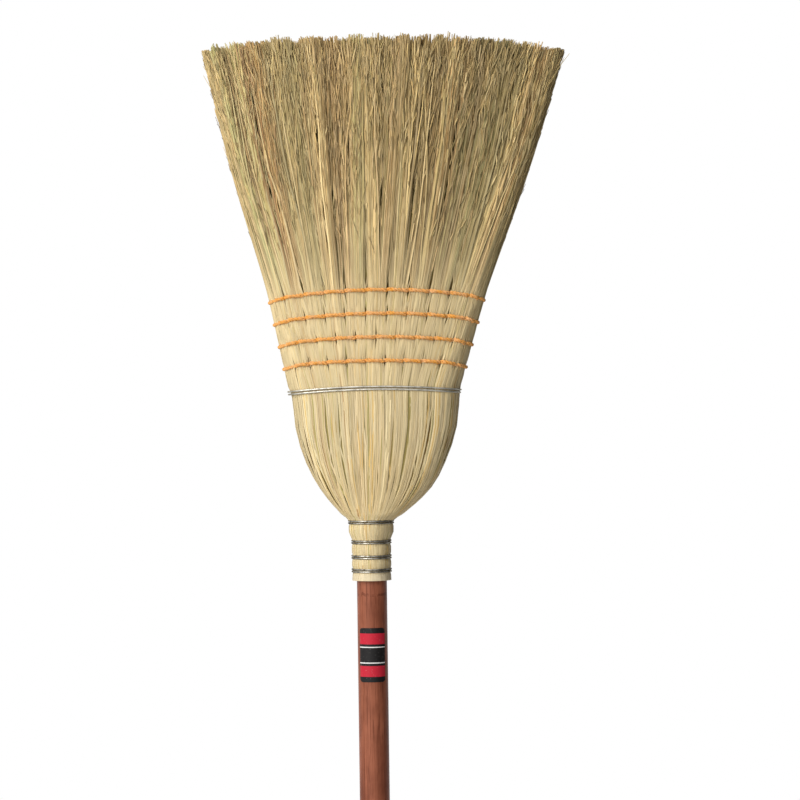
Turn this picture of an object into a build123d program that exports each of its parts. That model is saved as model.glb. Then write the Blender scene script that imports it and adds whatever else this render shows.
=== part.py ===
from build123d import *
from math import asin, cos, dist, pi, radians, sin, sqrt, tan
import os

# Driving dimensions, in millimetres and degrees. Heights are measured up from the collar, which is
# where the bare handle goes into the trimmed stalk butts of the sweep.

# Handle
handle_diameter = 25.4
handle_bare_length = 965.0
handle_end_radius = 6.0
spike_length = 120.0
spike_tip_diameter = 10.0

# Label on the handle
label_height = 45.7
label_drop = 39.8
label_wrap = 110.0
label_turn = -2.0
label_thickness = 0.12
label_clearance = 0.05
label_corner = 2.5

# Outline of the sweep
neck_wall = 2.9
neck_straight_height = 34.0
neck_flare = 2.5
neck_flare_height = 46.0
neck_height = 52.0
shoulder_height = 152.0
shoulder_width = 140.0
shoulder_depth = 54.0
shoulder_fullness = 0.8
stitched_width = 182.0
stitched_depth = 50.0
sweep_length = 459.0
tip_width = 318.0
tip_depth = 72.0
tip_crown = 12.0
tip_tilt = 2.1
lean_angle = 2.3
oval_joint_angle = 12.0
shoulder_sections = 7

# Layers of corn
layer_clearance = 0.15
hurl_neck_wall = 1.9
hurl_top_wall = 6.0
shoulder_corn_start = 6.0
core_corn_start = 48.0
core_corn_wall = 1.6
core_pocket_height = 60.0
core_top_width = 90.0
core_top_depth = 24.0

# Strands above the stitching
strand_columns = 56
strand_row_pitch = 5.6
strand_fill = 0.76
strand_scatter = 0.9
strand_ragged = 9.0

# Wires
winding_wire = 1.2
winding_pitch = 1.7
winding_turns = 3
shoulder_winding_height = 43.0
core_winding_height = 56.0
neck_wire = 1.4
neck_pitch = 1.9
neck_band_heights = (8.5, 19.9, 32.6, 49.5)
wire_clearance = 0.1
band_wire = 1.5
band_pitch = 2.3
band_rise = 10.6
band_drop = 2.1
band_bend = 1.8
band_leg = 9.0
band_overlap = 10.0
band_hole = 3.0

# Tacks
tack_shank_diameter = 1.6
tack_head_diameter = 4.4
tack_head_height = 0.9
tack_length = 13.0
tack_clearance = 0.1

# Sewing
twine = 1.8
twine_clearance = 0.15
twine_bend = 2.1
row_rise = 22.9
row_spacing = 19.8
row_count = 4
row_drop = 2.4
row_drop_step = 1.0
row_margin = 7.1
stitch_pitch = 15.2
stitch_end_margin = 4.0
stitch_arch = 2.1
stitch_tail = 12.0
slit_width = 3.4
slit_clearance = 0.4

# Values worked out from those
cut_margin = 1.0
gap_step = 0.5
golden = (sqrt(5) - 1) / 2
collar = handle_bare_length
handle_radius = handle_diameter / 2
spike_tip_radius = spike_tip_diameter / 2
neck_radius = handle_radius + neck_wall
neck_top_radius = neck_radius + neck_flare
band_height = shoulder_height + band_rise
row_heights = [band_height + row_rise + row_spacing * row for row in range(row_count)]
row_drops = [row_drop + row_drop_step * row for row in range(row_count)]
stitched_height = row_heights[-1] - row_drops[-1]
body_height = row_heights[-1] + row_margin
lean_slope = tan(radians(lean_angle))

os.makedirs("parts", exist_ok=True)


def lean(height):
    """Sideways place of the sweep's middle: the bundle leans a little to one side of the handle."""
    return lean_slope * max(height - neck_height, 0)


def half_size(height, at_shoulder, at_stitching, at_tips):
    """Half the sweep's width or depth at a height, from its sizes at the shoulder, stitching and tips."""
    if height <= neck_height:
        flared = (height - neck_straight_height) / (neck_flare_height - neck_straight_height)
        return neck_radius + neck_flare * min(max(flared, 0), 1)
    if height <= shoulder_height:
        below = (shoulder_height - height) / (shoulder_height - neck_height)
        swell = (1 - below**2) ** shoulder_fullness
        return neck_top_radius + (at_shoulder / 2 - neck_top_radius) * swell
    if height <= stitched_height:
        risen = (height - shoulder_height) / (stitched_height - shoulder_height)
        return (at_shoulder + (at_stitching - at_shoulder) * risen) / 2
    risen = (height - stitched_height) / (sweep_length - stitched_height)
    return (at_stitching + (at_tips - at_stitching) * risen) / 2


def half_width(height):
    return half_size(height, shoulder_width, stitched_width, tip_width)


def half_depth(height):
    return half_size(height, shoulder_depth, stitched_depth, tip_depth)


def spike_radius(height):
    """Radius of the handle's tapered spike inside the sweep."""
    return handle_radius + (spike_tip_radius - handle_radius) * height / spike_length


def hurl_wall(height):
    """Thickness of the outer corn."""
    risen = max(height - neck_height, 0) / (body_height - neck_height)
    return hurl_neck_wall + (hurl_top_wall - hurl_neck_wall) * risen


def oval_radii(width, depth):
    """Side and face radii of an oval of four tangent arcs, given its half width and half depth."""
    turn = radians(oval_joint_angle)
    apart = (width - depth) / (sin(turn) + cos(turn) - 1)
    side = depth - apart * (1 - cos(turn))
    return side, side + apart


def oval_joint(width, depth):
    """Where the face arc of an oval meets its side arc."""
    turn = radians(oval_joint_angle)
    face = oval_radii(width, depth)[1]
    return face * sin(turn), depth - face * (1 - cos(turn))


def oval_reach(x, width, depth):
    """Half depth of an oval at a distance x from its middle, and zero outside it."""
    side, face = oval_radii(width, depth)
    if abs(x) <= oval_joint(width, depth)[0]:
        return depth - face + sqrt(face**2 - x**2)
    return sqrt(max(side**2 - (abs(x) - width + side) ** 2, 0))


def oval(height, width, depth):
    """Section of the sweep at a height."""
    joint_x, joint_y = oval_joint(width, depth)
    with BuildSketch(Plane((lean(height), 0, collar + height))) as section:
        with BuildLine():
            front = ThreePointArc((-joint_x, -joint_y), (0, -depth), (joint_x, -joint_y))
            right = ThreePointArc(front @ 1, (width, 0), (joint_x, joint_y))
            back = ThreePointArc(right @ 1, (0, depth), (-joint_x, joint_y))
            ThreePointArc(back @ 1, (-width, 0), front @ 0)
        make_face()
    return section.sketch


def oval_body(sections):
    """Solid through ovals, each given as its height, half width and half depth."""
    return loft([oval(*section) for section in sections], ruled=True)


# Bodies that the layers of corn are cut from
neck_stations = [0, neck_straight_height, neck_flare_height, neck_height]
shoulder_span = shoulder_height - neck_height
shoulder_stations = [
    neck_height + shoulder_span * (step / shoulder_sections) ** 2 for step in range(1, shoulder_sections + 1)
]
stations = neck_stations + shoulder_stations + [stitched_height, body_height]

outer_body = oval_body([(h, half_width(h), half_depth(h)) for h in stations])

cavity_stations = [shoulder_corn_start - layer_clearance] + stations[1:-1] + [body_height + cut_margin]
hurl_cavity = oval_body(
    [(h, half_width(h) - hurl_wall(h), half_depth(h) - hurl_wall(h)) for h in cavity_stations]
)

shoulder_neck_radius = neck_radius - hurl_neck_wall - layer_clearance


def shoulder_section(height):
    """Section of the shoulder corn, which stays slim in the neck to leave room for its winding."""
    if height <= neck_flare_height:
        return height, shoulder_neck_radius, shoulder_neck_radius
    inset = hurl_wall(height) + layer_clearance
    return height, half_width(height) - inset, half_depth(height) - inset


shoulder_body = oval_body([shoulder_section(h) for h in [shoulder_corn_start] + stations[2:]])

core_neck_radius = spike_radius(core_corn_start) + layer_clearance + core_corn_wall
core_body = oval_body(
    [
        (core_corn_start, core_neck_radius, core_neck_radius),
        (core_pocket_height, core_neck_radius, core_neck_radius),
        (body_height, core_top_width / 2, core_top_depth / 2),
    ]
)
pocket_radius = core_neck_radius + winding_wire + 2 * wire_clearance
core_cavity = oval_body(
    [
        (core_corn_start - layer_clearance, pocket_radius, pocket_radius),
        (core_pocket_height, pocket_radius, pocket_radius),
        (body_height, core_top_width / 2 + layer_clearance, core_top_depth / 2 + layer_clearance),
    ]
)

with BuildPart() as handle_space:
    with BuildSketch(Plane.XZ):
        with BuildLine():
            Polyline(
                (0, collar - cut_margin),
                (handle_radius + layer_clearance, collar - cut_margin),
                (handle_radius + layer_clearance, collar),
                (spike_tip_radius + layer_clearance, collar + spike_length + layer_clearance),
                (0, collar + spike_length + layer_clearance),
                close=True,
            )
        make_face()
    revolve(axis=Axis.Z)


def biarc(start, start_way, end, end_way):
    """Two arcs, tangent to each other, that leave one point one way and reach another point another way."""
    chord = end - start
    both = start_way + end_way
    spread = 2 * (1 - start_way.dot(end_way))
    along = chord.dot(both)
    reach = (sqrt(along**2 + spread * chord.dot(chord)) - along) / spread
    middle = (start + end + (start_way - end_way) * reach) / 2
    first = TangentArc(start, middle, tangent=start_way)
    TangentArc(middle, end, tangent=first % 1)


def wind(places):
    """Round wire through places a quarter turn apart, each given as its angle, height and radius."""
    points = []
    ways = []
    for number, (angle, height, radius) in enumerate(places):
        before = places[max(number - 1, 0)]
        after = places[min(number + 1, len(places) - 1)]
        level = before[1] == height < after[1] or before[1] < height == after[1]
        climb = 0 if level else (after[1] - before[1]) / (after[0] - before[0])
        points.append(Vector(lean(height) + radius * cos(angle), radius * sin(angle), collar + height))
        ways.append(Vector(-radius * sin(angle), radius * cos(angle), climb).normalized())
    for number in range(len(points) - 1):
        biarc(points[number], ways[number], points[number + 1], ways[number + 1])


def coil(height, radius):
    """Places of a plain winding, centred on a height."""
    low = height - winding_pitch * winding_turns / 2
    quarters = range(4 * winding_turns + 1)
    return [(pi / 2 * quarter, low + winding_pitch * quarter / 4, radius) for quarter in quarters]


def least_gap(route, diameter):
    """Least clear distance of a tube to itself, measured on points along its route."""
    count = round(route.length / gap_step)
    points = [tuple(route.position_at(step / count)) for step in range(count + 1)]
    near = round(4 * diameter / gap_step)
    apart = min(dist(point, other) for one, point in enumerate(points) for other in points[one + near :])
    return apart - diameter


def start_of(route):
    """Plane square to a route at its start."""
    return Plane(route @ 0, z_dir=route % 0)


# Winding over the inside corn
with BuildPart() as core_winding_wire:
    with BuildLine() as core_route:
        wind(coil(core_winding_height, core_neck_radius + wire_clearance + winding_wire / 2))
    with BuildSketch(start_of(core_route.wire())):
        Circle(winding_wire / 2)
    sweep(path=core_route.wire())
core_winding_wire.part.label = "core_winding_wire"
export_step(core_winding_wire.part, "parts/core_winding_wire.step")
print("core winding clears itself by", round(least_gap(core_route.wire(), winding_wire), 2))

# Winding over the shoulder corn
with BuildPart() as shoulder_winding_wire:
    with BuildLine() as shoulder_route:
        wind(coil(shoulder_winding_height, shoulder_neck_radius + wire_clearance + winding_wire / 2))
    with BuildSketch(start_of(shoulder_route.wire())):
        Circle(winding_wire / 2)
    sweep(path=shoulder_route.wire())
shoulder_winding_wire.part.label = "shoulder_winding_wire"
export_step(shoulder_winding_wire.part, "parts/shoulder_winding_wire.step")
print("shoulder winding clears itself by", round(least_gap(shoulder_route.wire(), winding_wire), 2))


def neck_wire_radius(height):
    """Distance of the neck wire's middle from the handle's axis where it lies on the hurl."""
    return half_width(height) + wire_clearance + neck_wire / 2


# Winding over the hurl: each band goes twice round the front, and the wire climbs at the back
neck_front_heights = []
for band in neck_band_heights:
    neck_front_heights += [band - neck_pitch / 2, band + neck_pitch / 2]
neck_end_heights = (neck_front_heights[0] - neck_pitch / 2, neck_front_heights[-1] + neck_pitch / 2)
end_angle = asin((tack_shank_diameter / 2 + tack_clearance) / neck_wire_radius(neck_end_heights[0]))
neck_places = [(pi / 2 + end_angle, neck_end_heights[0], neck_end_heights[0])]
for turn, level in enumerate(neck_front_heights):
    neck_places += [(pi + 2 * pi * turn + pi / 2 * quarter, level, level) for quarter in range(3)]
    if turn + 1 < len(neck_front_heights):
        following = neck_front_heights[turn + 1]
        neck_places.append((2.5 * pi + 2 * pi * turn, (level + following) / 2, following))
neck_places.append(
    (pi / 2 + 2 * pi * len(neck_front_heights) - end_angle, neck_end_heights[1], neck_end_heights[1])
)
with BuildPart() as neck_winding_wire:
    with BuildLine() as neck_route:
        wind([(angle, height, neck_wire_radius(seat)) for angle, height, seat in neck_places])
    with BuildSketch(start_of(neck_route.wire())):
        Circle(neck_wire / 2)
    sweep(path=neck_route.wire())
neck_winding_wire.part.label = "neck_winding_wire"
export_step(neck_winding_wire.part, "parts/neck_winding_wire.step")
print("neck winding clears itself by", round(least_gap(neck_route.wire(), neck_wire), 2))

# Tacks at the two ends of the neck winding, driven through the corn into the handle
tack_planes = []
for level in neck_end_heights:
    seat = neck_wire_radius(level) + neck_wire / 2 + tack_clearance
    tack_planes.append(Plane((0, seat, collar + level), x_dir=(1, 0, 0), z_dir=(0, 1, 0)))
with BuildPart() as wire_tacks:
    for plane in tack_planes:
        with BuildSketch(plane):
            Circle(tack_head_diameter / 2)
        extrude(amount=tack_head_height)
        with BuildSketch(plane):
            Circle(tack_shank_diameter / 2)
        extrude(amount=-tack_length)
wire_tacks.part.label = "wire_tacks"
export_step(wire_tacks.part, "parts/wire_tacks.step")

with BuildPart() as tack_holes:
    for plane in tack_planes:
        with BuildSketch(plane):
            Circle(tack_shank_diameter / 2 + tack_clearance)
        extrude(amount=-tack_length - tack_clearance)

# Handle
with BuildPart() as handle:
    with BuildSketch(Plane.XZ):
        with BuildLine():
            Polyline(
                (0, 0),
                (handle_radius, 0),
                (handle_radius, collar),
                (spike_tip_radius, collar + spike_length),
                (0, collar + spike_length),
                close=True,
            )
        make_face()
    revolve(axis=Axis.Z)
    fillet(handle.edges().filter_by(GeomType.CIRCLE).group_by(Axis.Z)[0], handle_end_radius)
    add(tack_holes.part, mode=Mode.SUBTRACT)
handle.part.label = "handle"
export_step(handle.part, "parts/handle.step")

# Label
label_inside = handle_radius + label_clearance
label_width = 2 * label_inside * sin(radians(label_wrap / 2))
label_middle = Vector(0, 0, collar - label_drop - label_height / 2)
label_way = Vector(0, -1, 0).rotate(Axis.Z, label_turn)
with BuildPart() as handle_label:
    with BuildSketch(Plane(label_middle)):
        Circle(label_inside + label_thickness)
        Circle(label_inside, mode=Mode.SUBTRACT)
    extrude(amount=label_height / 2 + cut_margin, both=True)
    with BuildSketch(Plane(label_middle, x_dir=(0, 0, 1), z_dir=label_way)):
        RectangleRounded(label_height, label_width, label_corner)
    extrude(amount=handle_diameter, mode=Mode.INTERSECT)
handle_label.part.label = "handle_label"
export_step(handle_label.part, "parts/handle_label.step")


def behind(point):
    """The same place on the back of the sweep."""
    return Vector(point.X, -point.Y, point.Z)


def loop(level, drop, proud):
    """Front arc, left to right, and back arc, right to left, of a loop that is arched up in the middle."""
    low = level - drop
    joint_x, joint_y = oval_joint(half_width(low) + proud, half_depth(low) + proud)
    left = Vector(lean(low) - joint_x, -joint_y, collar + low)
    right = Vector(lean(low) + joint_x, -joint_y, collar + low)
    face = Vector(lean(low), -half_depth(level) - proud, collar + level)
    front = ThreePointArc(left, face, right, mode=Mode.PRIVATE)
    back = ThreePointArc(behind(right), behind(face), behind(left), mode=Mode.PRIVATE)
    return front, back


def wrap(loops, bend, leg, start, end):
    """Route round the sweep, once for each loop, with both ends bent into the back of the sweep.

    The start and the end are each given as a back arc and the place along it where the end goes in.
    """
    back, place = start
    leave = place + bend / back.length
    seat = back @ place - Vector(0, bend, 0)
    Line(seat - Vector(0, leg, 0), seat)
    biarc(seat, Vector(0, 1, 0), back @ leave, back % leave)
    here = back @ leave
    way = back % leave
    for front, rear in loops:
        biarc(here, way, rear @ 1, rear % 1)
        TangentArc(rear @ 1, front @ 0, tangent=rear % 1)
        add(front)
        TangentArc(front @ 1, rear @ 0, tangent=front % 1)
        here = rear @ 0
        way = rear % 0
    back, place = end
    arrive = place - bend / back.length
    seat = back @ place - Vector(0, bend, 0)
    biarc(here, way, back @ arrive, back % arrive)
    biarc(back @ arrive, back % arrive, seat, Vector(0, -1, 0))
    Line(seat, seat - Vector(0, leg, 0))


# Wire band: twice round the sweep above the shoulder, with both ends bent into the back
band_proud = wire_clearance + band_wire / 2
band_loops = [
    loop(level, band_drop, band_proud) for level in (band_height - band_pitch / 2, band_height + band_pitch / 2)
]
band_start = loop(band_height - band_pitch, band_drop, band_proud)[1]
band_end = loop(band_height + band_pitch, band_drop, band_proud)[1]
band_start_place = 0.5 - band_overlap / band_start.length
band_end_place = 0.5 + band_overlap / band_end.length
with BuildPart() as sweep_wire_band:
    with BuildLine() as band_route:
        wrap(band_loops, band_bend, band_leg, (band_start, band_start_place), (band_end, band_end_place))
    with BuildSketch(start_of(band_route.wire())):
        Circle(band_wire / 2)
    sweep(path=band_route.wire())
sweep_wire_band.part.label = "sweep_wire_band"
export_step(sweep_wire_band.part, "parts/sweep_wire_band.step")
print("wire band clears itself by", round(least_gap(band_route.wire(), band_wire), 2))

with BuildPart() as band_holes:
    for corner in (band_start @ band_start_place, band_end @ band_end_place):
        with BuildSketch(Plane(corner, x_dir=(1, 0, 0), z_dir=(0, 1, 0))):
            Circle(band_hole / 2)
        extrude(amount=-band_bend - band_leg - layer_clearance)

# Sewn rows: a band of twine round the sweep, and a thread sewn through slits in the corn, which slants
# down over the band from slit to slit at the front and goes straight up over it at the back
twine_proud = twine_clearance + twine / 2
slit_points = []
for row, (level, drop) in enumerate(zip(row_heights, row_drops), start=1):
    front, back = loop(level, drop, twine_proud)
    tufts = max(int((front.length - 2 * stitch_end_margin) / stitch_pitch), 1)
    stitch_places = [
        0.5 + (stitch - tufts / 2) * stitch_pitch / front.length for stitch in range(tufts + 1)
    ]
    stitches = [front @ place for place in stitch_places]
    slit_points += [(stitch.X, stitch.Z) for stitch in stitches]
    tuck = tufts // 2

    with BuildPart() as stitch_band:
        with BuildLine() as twine_route:
            wrap(
                [(front, back)],
                twine_bend,
                stitch_tail,
                (back, 1 - stitch_places[tuck]),
                (back, 1 - stitch_places[tuck + 1]),
            )
        with BuildSketch(start_of(twine_route.wire())):
            Circle(twine / 2)
        sweep(path=twine_route.wire())
    stitch_band.part.label = f"stitch_band_{row}"
    export_step(stitch_band.part, f"parts/stitch_band_{row}.step")

    rise = Vector(0, 0, stitch_arch)
    out = Vector(0, -stitch_arch, 0)
    with BuildPart() as stitch_thread:
        with BuildLine() as thread_route:
            first, last = behind(stitches[0]), behind(stitches[-1])
            Line(Vector(first.X, -stitch_tail, first.Z) - rise, first - rise)
            for stitch, following in zip(stitches, stitches[1:]):
                ThreePointArc(behind(stitch) - rise, behind(stitch + out), behind(stitch) + rise)
                FilletPolyline(
                    behind(stitch) + rise,
                    stitch + out + rise,
                    following + out - rise,
                    behind(following) - rise,
                    radius=twine_bend,
                )
            ThreePointArc(last - rise, behind(stitches[-1] + out), last + rise)
            Line(last + rise, Vector(last.X, -stitch_tail, last.Z) + rise)
        with BuildSketch(start_of(thread_route.wire())):
            Circle(twine / 2)
        sweep(path=thread_route.wire())
    stitch_thread.part.label = f"stitch_thread_{row}"
    export_step(stitch_thread.part, f"parts/stitch_thread_{row}.step")
    print(
        f"twine of row {row} clears itself by",
        round(least_gap(twine_route.wire(), twine), 2),
        round(least_gap(thread_route.wire(), twine), 2),
    )

with BuildPart() as slits:
    with BuildSketch(Plane.XZ):
        with Locations(*slit_points):
            SlotOverall(2 * (stitch_arch + twine / 2 + slit_clearance), slit_width, rotation=90)
    extrude(amount=stitched_depth, both=True)


def chance(number, step):
    """Evenly spread fractions from -0.5 to 0.5, a different run of them for each step."""
    return number * golden**step % 1 - 0.5


def strand(root, size, tip, height):
    """One stiff strand: it runs from its root towards its place at the tips, and is cut off at a height."""
    way = Vector(tip.X - root.X, tip.Y - root.Y, sweep_length - body_height)
    with BuildPart() as piece:
        with BuildSketch(Plane((root.X, root.Y, collar + body_height))):
            Rectangle(size.X, size.Y)
        extrude(amount=(height - body_height) * way.length / way.Z, dir=way)
    return piece.part


# Strands, each in its own cell of one lattice that widens from the stitching to the tips, so that none
# cross, and each kept with the layer of corn that its root stands on
strands = {"front": [], "back": [], "left": [], "right": [], "core": []}
root_width, root_depth = half_width(body_height), half_depth(body_height)
tips_width, tips_depth = half_width(sweep_length), half_depth(sweep_length)
hurl_inside = (root_width - hurl_top_wall, root_depth - hurl_top_wall)
number = 0
for column in range(strand_columns):
    across = (2 * column + 1) / strand_columns - 1
    root_reach = oval_reach(across * root_width, root_width, root_depth)
    tips_reach = oval_reach(across * tips_width, tips_width, tips_depth)
    rows = max(round(2 * root_reach / strand_row_pitch), 1)
    for row in range(rows):
        number += 1
        deep = (2 * row + 1) / rows - 1
        x, y = across * root_width, deep * root_reach
        size = Vector(root_width / strand_columns, root_reach / rows) * 2 * strand_fill
        room = Vector(tips_width / strand_columns, tips_reach / rows) * 2 - size
        tip_x = across * tips_width + chance(number, 1) * strand_scatter * room.X
        tip_y = deep * tips_reach + chance(number, 2) * strand_scatter * room.Y
        piece = strand(
            Vector(lean(body_height) + x, y),
            size,
            Vector(lean(sweep_length) + tip_x, tip_y),
            sweep_length
            - tip_crown * across**2
            - tip_tilt * across
            - strand_ragged * (0.5 + chance(number, 3)),
        )
        if abs(y) >= oval_reach(x, *hurl_inside):
            layer = "front" if y <= 0 else "back"
        elif abs(y) >= oval_reach(x, core_top_width / 2, core_top_depth / 2):
            layer = "left" if x <= 0 else "right"
        else:
            layer = "core"
        strands[layer].append(piece)
print("strands:", number, {layer: len(pieces) for layer, pieces in strands.items()})

# Inside corn
with BuildPart() as core_corn:
    add(core_body)
    add(handle_space.part, mode=Mode.SUBTRACT)
    add([tack_holes.part, slits.part], mode=Mode.SUBTRACT)
    add(strands["core"])
core_corn.part.label = "core_corn"
export_step(core_corn.part, "parts/core_corn.step")

# Shoulder corn, parted on a plane that leans with the sweep
with BuildPart() as shoulders:
    add(shoulder_body)
    add(core_cavity, mode=Mode.SUBTRACT)
    add(handle_space.part, mode=Mode.SUBTRACT)
    add([tack_holes.part, band_holes.part, slits.part], mode=Mode.SUBTRACT)
lean_plane = Plane((0, 0, collar + neck_height), z_dir=(1, 0, -lean_slope))
for side, keep in (("left", Keep.BOTTOM), ("right", Keep.TOP)):
    with BuildPart() as shoulder_corn:
        add(shoulders.part)
        split(bisect_by=lean_plane, keep=keep)
        add(strands[side])
    shoulder_corn.part.label = f"{side}_shoulder_corn"
    export_step(shoulder_corn.part, f"parts/{side}_shoulder_corn.step")

# Hurl, the outer corn, parted at the two edges of the sweep
with BuildPart() as hurl:
    add(outer_body)
    add(hurl_cavity, mode=Mode.SUBTRACT)
    add(handle_space.part, mode=Mode.SUBTRACT)
    add([tack_holes.part, band_holes.part, slits.part], mode=Mode.SUBTRACT)
for side, keep in (("front", Keep.TOP), ("back", Keep.BOTTOM)):
    with BuildPart() as hurl_corn:
        add(hurl.part)
        split(bisect_by=Plane.XZ, keep=keep)
        add(strands[side])
    hurl_corn.part.label = f"{side}_hurl_corn"
    export_step(hurl_corn.part, f"parts/{side}_hurl_corn.step")
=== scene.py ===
"""Dresses the solids of a flat corn broom with straw, twine, wire, wood and a studio."""

import math

import bpy
import numpy as np
from bpy.props import FloatProperty, FloatVectorProperty, IntProperty, PointerProperty
from bpy.types import Operator, Panel, PropertyGroup
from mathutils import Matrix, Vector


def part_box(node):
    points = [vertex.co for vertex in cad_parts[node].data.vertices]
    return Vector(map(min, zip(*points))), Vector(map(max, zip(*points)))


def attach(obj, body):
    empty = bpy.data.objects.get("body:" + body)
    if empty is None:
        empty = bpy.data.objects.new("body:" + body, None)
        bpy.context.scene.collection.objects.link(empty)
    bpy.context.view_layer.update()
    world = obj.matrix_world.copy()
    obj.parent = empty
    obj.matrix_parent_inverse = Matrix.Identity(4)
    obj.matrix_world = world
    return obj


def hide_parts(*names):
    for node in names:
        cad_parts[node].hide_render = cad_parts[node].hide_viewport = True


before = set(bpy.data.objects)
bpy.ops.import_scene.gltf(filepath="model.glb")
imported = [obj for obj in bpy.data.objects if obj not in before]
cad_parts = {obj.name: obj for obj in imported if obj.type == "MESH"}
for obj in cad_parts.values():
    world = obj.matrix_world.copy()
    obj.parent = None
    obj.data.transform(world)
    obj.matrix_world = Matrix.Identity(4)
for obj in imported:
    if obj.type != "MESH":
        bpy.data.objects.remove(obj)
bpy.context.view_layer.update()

bl_info = {
    "name": "Corn Broom",
    "version": (1, 0, 0),
    "blender": (4, 5, 0),
    "location": "3D View > Sidebar > Broom",
    "description": "Dresses the solids of a flat corn broom and sets up its studio",
    "category": "Object",
}

BODY = "root"
FRONT, BACK = -1, 1
FACES = {"front": FRONT, "back": BACK}
SHOULDERS = {"left": -1, "right": 1}
ROWS = (1, 2, 3, 4)
BARE_WIRES = ("core_winding_wire", "shoulder_winding_wire", "neck_winding_wire", "wire_tacks")
TURN = 2 * math.pi
WHITE = (1.0, 1.0, 1.0, 1.0)

# The solids' own twine, and the room that it leaves at the ends of a face
CAD_TWINE = 0.0018
STITCH_END_MARGIN = 0.004

# Most that the normals of loose straw turn aside, on a face and at its edge
LOOSE_TURN = math.radians(5)
EDGE_TURN = math.radians(75)

# Sides of a straw, and the shares of a twine's diameter that place and size its plies
STRAW_SIDES = 3
PLY_OFFSET, PLY_RADIUS = 0.24, 0.30

# Points of a laid twine on the left of the back, on the front and on the right of the back, and how much
# further than a stitch at the front a loop at the back reaches
BAND_POINTS = (160, 360, 144)
LOOP_RISE = 1.3

# Slits in the straw, the share of a face that has them, and where the stalks end that lie on top of the
# brush and those that don't
SLIT_SPAN = 0.93
FINE_SLITS = {"heights": (0.06, 0.15), "reaches": (0.012, 0.04), "widths": (0.005, 0.010)}
BOLD_SLITS = {"heights": (0.06, 0.13), "reaches": (0.035, 0.06), "widths": (0.0075, 0.019), "outward": 0.5}
BRUSH_SLITS = {"reaches": (0.015, 0.055), "widths": (0.003, 0.009)}
PARTINGS = {"reaches": (0.05, 0.13), "widths": (0.003, 0.0085)}
LEAD_ENDS = (0.41, 0.452)
STALK_ENDS = (0.30, 0.43)

# Streaks of a face: their number and strength, and the way that redder straw departs from the rest
STREAKS = ((96, 0.11), (48, 0.21), (26, 0.16))
REDDER = np.array((0.09, -0.03, -0.03))

# Odds of cream, straw, tan, olive and russet low down and at the tips, how varied the straw is there, the
# share of the fan over which one gives way to the other and how unevenly, and the casts of whole clumps
LOW_ODDS = (0.46, 0.40, 0.09, 0.04, 0.01)
HIGH_ODDS = (0.08, 0.34, 0.36, 0.15, 0.07)
LOW_VARIETY, HIGH_VARIETY = 0.95, 0.30
RIPENING, UNEVEN = 0.19, 0.12
CLUMP_CASTS = np.array(
    ((1.10, 1.05, 0.98), (0.88, 1.0, 0.95), (1.08, 0.95, 0.86), (0.88, 0.87, 0.84), (1.0, 1.0, 1.0))
)

# Stations along the straw and levels there: its brightness, the tan at its foot and its streaks
BRUSH_LEVELS = ((0, 0.12, 0.45, 0.75, 1), (1, 0.88, 0.875, 0.90, 0.89))
SHOULDER_LEVELS = ((0.05, 0.07, 0.14, 0.17), (0.99, 0.94, 0.935, 0.97))
FOOT_TAN = ((0.05, 0.06, 0.09, 0.12), (0, 0.2, 0.15, 0))
STREAK_LEVELS = ((0, 0.02, 0.09, 0.15, 0.17, 0.235, 0.27), (0, 0.2, 0.4, 0.35, 0.2, 0.2, 1))

# Strips of a flat map: how many are beside each other for each one above, the shares of their room that
# they fill, and the shares of a strip that hold an end of its tube and the bend of that end
STRIP_SHAPE = 90
STRIP_WIDTH, STRIP_HEIGHT = 0.86, 0.92
STRIP_ENDS, STRIP_BEND = 0.04, 0.03

# Height above the sewing over which the straw becomes mottled
MOTTLE_REACH = 0.06

# Heights along a stalk: in the neck, up the shoulder, beside a wire or a row, and how many above the rows
NECK_STEPS = (0.0, 0.041)
SHOULDER_STEPS = (0.0555, 0.0575, 0.060, 0.064, 0.070, 0.078, 0.088, 0.100, 0.114, 0.130, 0.148)
WIRE_STEPS = np.array((-0.004, 0.0, 0.004))
ROW_STEPS = np.array((-0.0065, -0.0028, 0.0, 0.0028, 0.0065))
OPEN_STEPS = 8

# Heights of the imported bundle, as low and high ends with a number of steps, and the corners round it
BUNDLE_STEPS = ((0.0015, 0.046, 11), (0.049, 0.075, 14), (0.080, 0.160, 12), (0.163, 0.385, 70))
BUNDLE_CORNERS = 288


def kind_of(make, **kind):
    """Short form for one kind of property, which takes its name, its description and its default."""

    def short(name, description, default):
        return make(name=name, description=description, default=default, **kind)

    return short


plain = kind_of(FloatProperty)
share = kind_of(FloatProperty, subtype="FACTOR", min=0.0, max=1.0)
length = kind_of(FloatProperty, unit="LENGTH", precision=5)
angle = kind_of(FloatProperty, unit="ROTATION", subtype="ANGLE")
watts = kind_of(FloatProperty, unit="POWER")
count = kind_of(IntProperty, min=1)
two_lengths = kind_of(FloatVectorProperty, unit="LENGTH", size=2)
point = kind_of(FloatVectorProperty, unit="LENGTH", size=3)
four_lengths = kind_of(FloatVectorProperty, unit="LENGTH", size=4)
colour = kind_of(FloatVectorProperty, subtype="COLOR", size=3, min=0.0, max=1.0)


# Settings


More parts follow.
